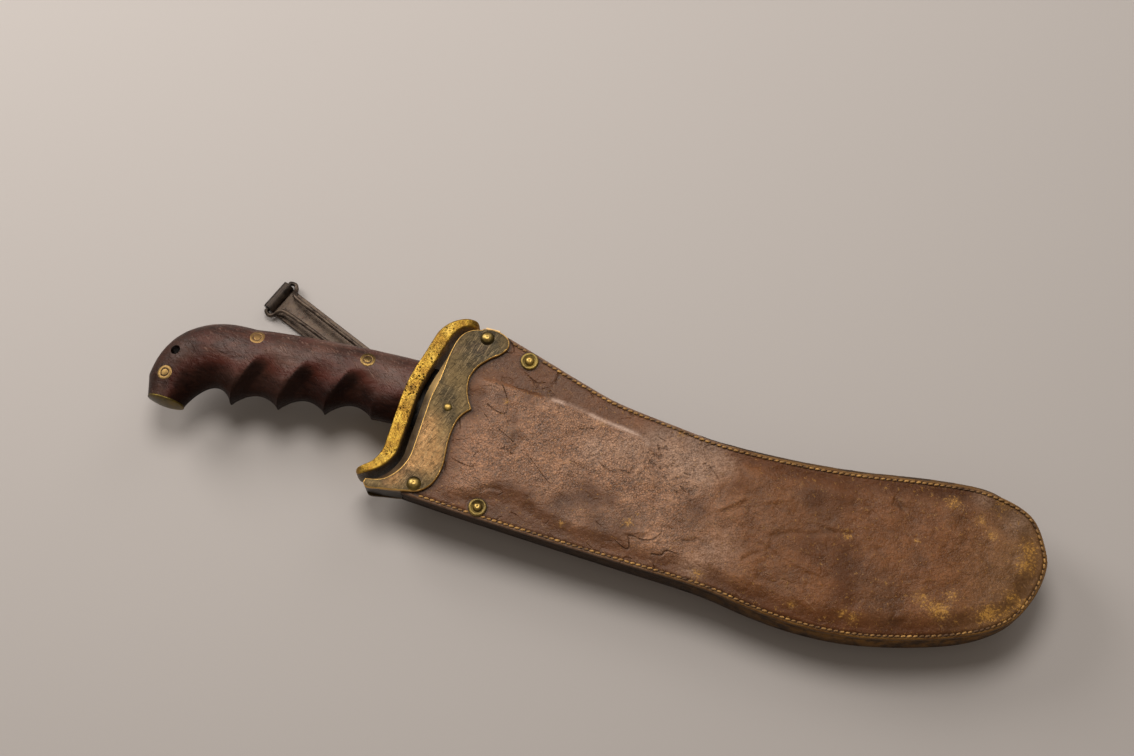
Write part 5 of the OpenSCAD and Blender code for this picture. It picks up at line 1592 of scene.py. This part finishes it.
class BOLO_OT_rivets(bpy.types.Operator):
    """Builds the domed throat rivets and the cupped rivets of the leather"""
    bl_idname = "bolo.rivets"
    bl_label = "Rivets"

    def execute(self, context):
        t, p, back = THROAT_Z, PLATE_Z, BACK_Z - (THROAT_Z - PLATE_Z)
        dome = [(0.001, t + 1.88), (0.35, t + 1.9), (0.5, t + 2.03), (0.95, t + 2.0),
                (1.2, t + 1.86), (1.9, t + 1.62), (2.7, t + 1.1), (3.3, t + 0.5), (3.6, t + 0.02),
                (1.6, t - 0.02), (1.6, back), (3.6, back), (3.5, back - 0.55),
                (3.1, back - 0.8), (0.001, back - 0.8)]
        small = [(0.001, t + 1.3), (0.6, t + 1.25), (1.2, t + 1.02), (1.75, t + 0.6),
                 (2.1, t + 0.02), (1.0, t - 0.02), (1.0, FRONT_Z - 0.35),
                 (0.001, FRONT_Z - 0.35)]
        cup = [(1.7, p + 0.5), (2.4, p + 0.55), (3.2, p + 1.0), (3.8, p + 1.2), (4.25, p + 1.0),
               (4.5, p + 0.45), (4.5, p - 0.05), (1.7, p - 0.05)]
        head = [(0.001, p + 2.1), (0.35, p + 2.12), (0.55, p + 2.3), (0.95, p + 2.25),
                (1.5, p + 1.9), (2.05, p + 1.35), (2.3, p + 0.9), (2.35, p + 0.6),
                (1.62, p + 0.5), (1.62, BACK_Z - 0.1), (2.5, BACK_Z - 0.1),
                (2.5, BACK_Z - 0.7), (2.2, BACK_Z - 0.95), (0.001, BACK_Z - 1.0)]
        for node, profile, places, ring in (
                ("throat_rivets", dome, THROAT_RIVETS, False),
                ("spring_rivet", small, (SPRING_RIVET,), False),
                ("leather_rivet_washers", cup, LEATHER_RIVETS, True),
                ("leather_rivets", head, LEATHER_RIVETS, False)):
            quads = grid_faces(len(profile), RIVET_STEPS, close_n=ring, close_m=True)
            rows = [turned(profile, place) for place in places]
            faces = [quads + len(rows[0]) * k for k in range(len(rows))]
            reach, top = np.repeat(np.asarray(profile), RIVET_STEPS, axis=0).T
            # bright tops: partly rubbed wear and partly a painted highlight
            rub = ease((top - top.max() + 0.75) / 0.6) * (0.1 if ring else 1)
            rub = np.maximum(rub, 0.3 * (ring & (reach > 4.2) & (top > p + 0.4)))
            piece("brass_" + node, np.vstack(rows), [np.vstack(faces)], [finish_of("rivet")],
                  "scabbard", (node,), {"rub": np.tile(rub, len(rows))},
                  smooth_angle=50)
        return {"FINISHED"}


# ---------------------------------------------------------------- hanger
def along_hanger(h, u, v, z):
    """Drawing positions of places given along and across the hanger: the two are turned by its
    angle about the swivel's axis."""
    a = h["angle"]
    x = u * math.cos(a) - v * math.sin(a)
    y = u * math.sin(a) + v * math.cos(a) - SWIVEL_DROP
    return np.stack([x, y, z + 0 * x], -1)


class BOLO_OT_hanger(bpy.types.Operator):
    """Builds the steel hanger plate with its rolled end, the belt wire and the swivel"""
    bl_idname = "bolo.hanger"
    bl_label = "Belt Hanger"

    def execute(self, context):
        h = sizes("bolo_hanger")
        t, r = h["plate_t"], h["roll_d"] / 2
        half = h["plate_w"] / 2
        bend = r - t / 2
        flat_u = np.concatenate([-half * np.cos(np.linspace(0.03, np.pi / 2, 16)),
                                 np.linspace(2, h["reach"] - 0.01, 70)])
        a = np.radians(np.linspace(-90, 222, 44))[1:]
        u = np.concatenate([flat_u, h["reach"] + bend * np.cos(a)])
        z = np.concatenate([np.full(len(flat_u), t / 2), r + bend * np.sin(a)])
        wide = np.where(u < 0, np.sqrt(np.maximum(half ** 2 - u ** 2, 0.01)), half)
        wide = wide + 0.2 * ease((u - h["reach"] + 8) / 6)
        path = along_hanger(h, u, 0 * u, z)
        d = direction(path)
        side = along_hanger(h, np.zeros(1), np.ones(1), 0)[0] + np.array([0, SWIVEL_DROP, 0])
        up = np.cross(d, side)
        points, faces, _ = carried(path, side, up, wide, t / 2, 0.4, 14, 2)
        dent = 0.12 * cloud(points[:, 0], points[:, 1], 11, 41)
        points[:, 2] += dent * ((points[:, 2] > t * 0.6) & (points[:, 2] < t * 1.2))
        plate = piece("rolled_hanger", points, faces, [finish_of("steel")], "hanger",
                      ("hanger_plate",))
        bored(plate, [(0, -SWIVEL_DROP)], 9.2, -1, 1.15)
        self.wire(h)
        for node in ("wire_spool", "swivel_boss", "swivel_stud"):
            softened(node, finish_of("steel"), 0.2)
        return {"FINISHED"}

    def wire(self, h):
        """The belt wire: a round section carried along one closed line, which runs round the
        spool, along both edges of the plate, out past the roll and through it."""
        r, reach = h["wire_d"] / 2, h["reach"]
        neck, roll, high = 4.05, h["plate_w"] / 2 + 0.2, h["plate_t"] + 6.0 + r
        rz = h["roll_d"] / 2
        sided = through([(6, neck, high), (40, neck, high), (78, neck, high),
                         (92, neck + 0.2, high - 0.3), (reach - 9.6, neck + 0.6, high - 2.4),
                         (reach - 5.8, neck + 2.2, rz + 1.8),
                         (reach - 4.5, roll + 0.6, rz + 0.4), (reach - 2.4, roll + 2.2, rz),
                         (reach, roll + 1.4, rz), (reach, roll + 0.3, rz),
                         (reach, roll - 1.5, rz), (reach, 0, rz)], 9)
        a = np.radians(np.arange(0, 90, 7.5))
        loop = np.stack([-neck * np.cos(a), neck * np.sin(a), np.full(a.shape, high)], 1)
        one = np.vstack([loop, sided])
        both = np.vstack([one, (one * (1, -1, 1))[::-1][1:-1]])
        path = along_hanger(h, both[:, 0], both[:, 1], both[:, 2])
        wrapped = np.vstack([path[-1:], path, path[:1]])
        d = direction(wrapped)[1:-1]
        side = np.cross([0, 0, 1.0], d)
        side /= np.linalg.norm(side, axis=1, keepdims=True)
        up = np.cross(d, side)
        sides = 18
        a = np.linspace(0, 2 * np.pi, sides, endpoint=False)[None, :, None]
        ring = path[:, None] + r * (np.cos(a) * side[:, None] + np.sin(a) * up[:, None])
        piece("bent_belt_wire", ring.reshape(-1, 3),
              [grid_faces(len(path), sides, close_n=True, close_m=True)], [finish_of("steel")],
              "hanger", ("belt_wire",), smooth_angle=60)


# ---------------------------------------------------------------- stage
# the photograph's camera: place in millimetres, tilt and turn in degrees, lens and sensor
CAMERA_XY = (131.2054 + ORIGIN[0], -229.5251 + ORIGIN[1])
CAMERA_Z, CAMERA_TILT, CAMERA_TURN, LENS, SENSOR_W = 877.4, 18.0, 17.0, 57.143, 36.0
# the paper lies just under the part, in metres
FLOOR_Z = -0.0004


class BOLO_OT_stage(bpy.types.Operator):
    """Sets the floor, the soft lights, the world and the camera"""
    bl_idname = "bolo.stage"
    bl_label = "Stage"

    def execute(self, context):
        scene, s = context.scene, context.scene.bolo_stage
        tilt, turn = math.radians(CAMERA_TILT), math.radians(CAMERA_TURN)
        right = np.array([math.cos(turn), math.sin(turn), 0])
        away = np.array([-math.sin(turn), math.cos(turn), 0])
        ahead = math.sin(tilt) * away - math.cos(tilt) * np.array([0, 0, 1])
        over = math.cos(tilt) * away + math.sin(tilt) * np.array([0, 0, 1])
        data = bpy.data.cameras.new("camera")
        data.lens, data.sensor_width = LENS, SENSOR_W
        data.clip_start, data.clip_end = 0.05, 20
        camera = bpy.data.objects.new("camera", data)
        frame_ = Matrix((right, over, -ahead)).transposed().to_4x4()
        camera.matrix_world = Matrix.Translation(
            (CAMERA_XY[0] / MM, CAMERA_XY[1] / MM, CAMERA_Z / MM)) @ frame_
        scene.collection.objects.link(camera)
        scene.camera = camera

        w = s.floor_w / 2
        mesh = bpy.data.meshes.new("floor")
        corners = [(x * w, y * w, FLOOR_Z) for x, y in ((-1, -1), (1, -1), (1, 1), (-1, 1))]
        mesh.from_pydata(corners, [], [(0, 1, 2, 3)])
        floor = bpy.data.objects.new("floor", mesh)
        scene.collection.objects.link(floor)
        material, _, shader, _ = surface("matt_paper_floor")
        shader.inputs["Base Color"].default_value = tint("floor")
        shader.inputs["Roughness"].default_value = 0.9
        shader.inputs["Specular IOR Level"].default_value = 0.2
        mesh.materials.append(material)

        # the big light hangs above the upper left of the view, as the highlights show
        for name, where, size, power in (
                ("key", (-0.19, 0.44, 1.10), 0.55, s.key),
                ("side", (-0.95, 0.42, 0.62), 0.6, s.key),
                ("top", (0.25, 1.0, 0.6), 0.7, s.key * 0.25)):
            lamp = bpy.data.lights.new(name, "AREA")
            lamp.shape, lamp.size, lamp.energy = "DISK", size, power
            light = bpy.data.objects.new(name, lamp)
            aim = (-Vector(where)).to_track_quat("-Z", "Y").to_matrix().to_4x4()
            light.matrix_world = Matrix.Translation(where) @ aim
            scene.collection.objects.link(light)

        world = bpy.data.worlds.new("studio")
        scene.world = world
        world.use_nodes = True
        ground = world.node_tree.nodes["Background"]
        ground.inputs["Color"].default_value = linear("#ece4da")
        ground.inputs["Strength"].default_value = s.fill
        scene.view_settings.view_transform = "Standard"
        return {"FINISHED"}


class BOLO_PT_panel(bpy.types.Panel):
    """Lists the steps that dress the knife and its scabbard"""
    bl_label = "Bolo Knife"
    bl_idname = "BOLO_PT_panel"
    bl_space_type = "VIEW_3D"
    bl_region_type = "UI"
    bl_category = "Bolo"

    def draw(self, context):
        for step in STEPS:
            self.layout.operator(step.bl_idname)
        for group in GROUPS:
            box = self.layout.box()
            for key in getattr(context.scene, group).bl_rna.properties.keys():
                if key not in ("rna_type", "name"):
                    box.prop(getattr(context.scene, group), key)


STEPS = (BOLO_OT_blade, BOLO_OT_grip, BOLO_OT_pins, BOLO_OT_guard, BOLO_OT_leather,
         BOLO_OT_stitching, BOLO_OT_throat, BOLO_OT_rivets, BOLO_OT_hanger, BOLO_OT_stage)
GROUPS = {"bolo_knife": BoloKnifeSizes, "bolo_scabbard": BoloScabbardSizes,
          "bolo_hanger": BoloHangerSizes, "bolo_finishes": BoloFinishes,
          "bolo_stage": BoloStage}


def register():
    """Registers the panel, the steps and the groups of sizes."""
    for cls in (*GROUPS.values(), *STEPS, BOLO_PT_panel):
        bpy.utils.register_class(cls)
    for name, cls in GROUPS.items():
        setattr(bpy.types.Scene, name, PointerProperty(type=cls))


def unregister():
    """Takes away what register() added, in the reverse order."""
    for name in GROUPS:
        delattr(bpy.types.Scene, name)
    for cls in reversed((*GROUPS.values(), *STEPS, BOLO_PT_panel)):
        bpy.utils.unregister_class(cls)


def main():
    """Runs every step once."""
    register()
    for step in STEPS:
        area, verb = step.bl_idname.split(".")
        getattr(getattr(bpy.ops, area), verb)()


if __name__ == "__main__":
    main()
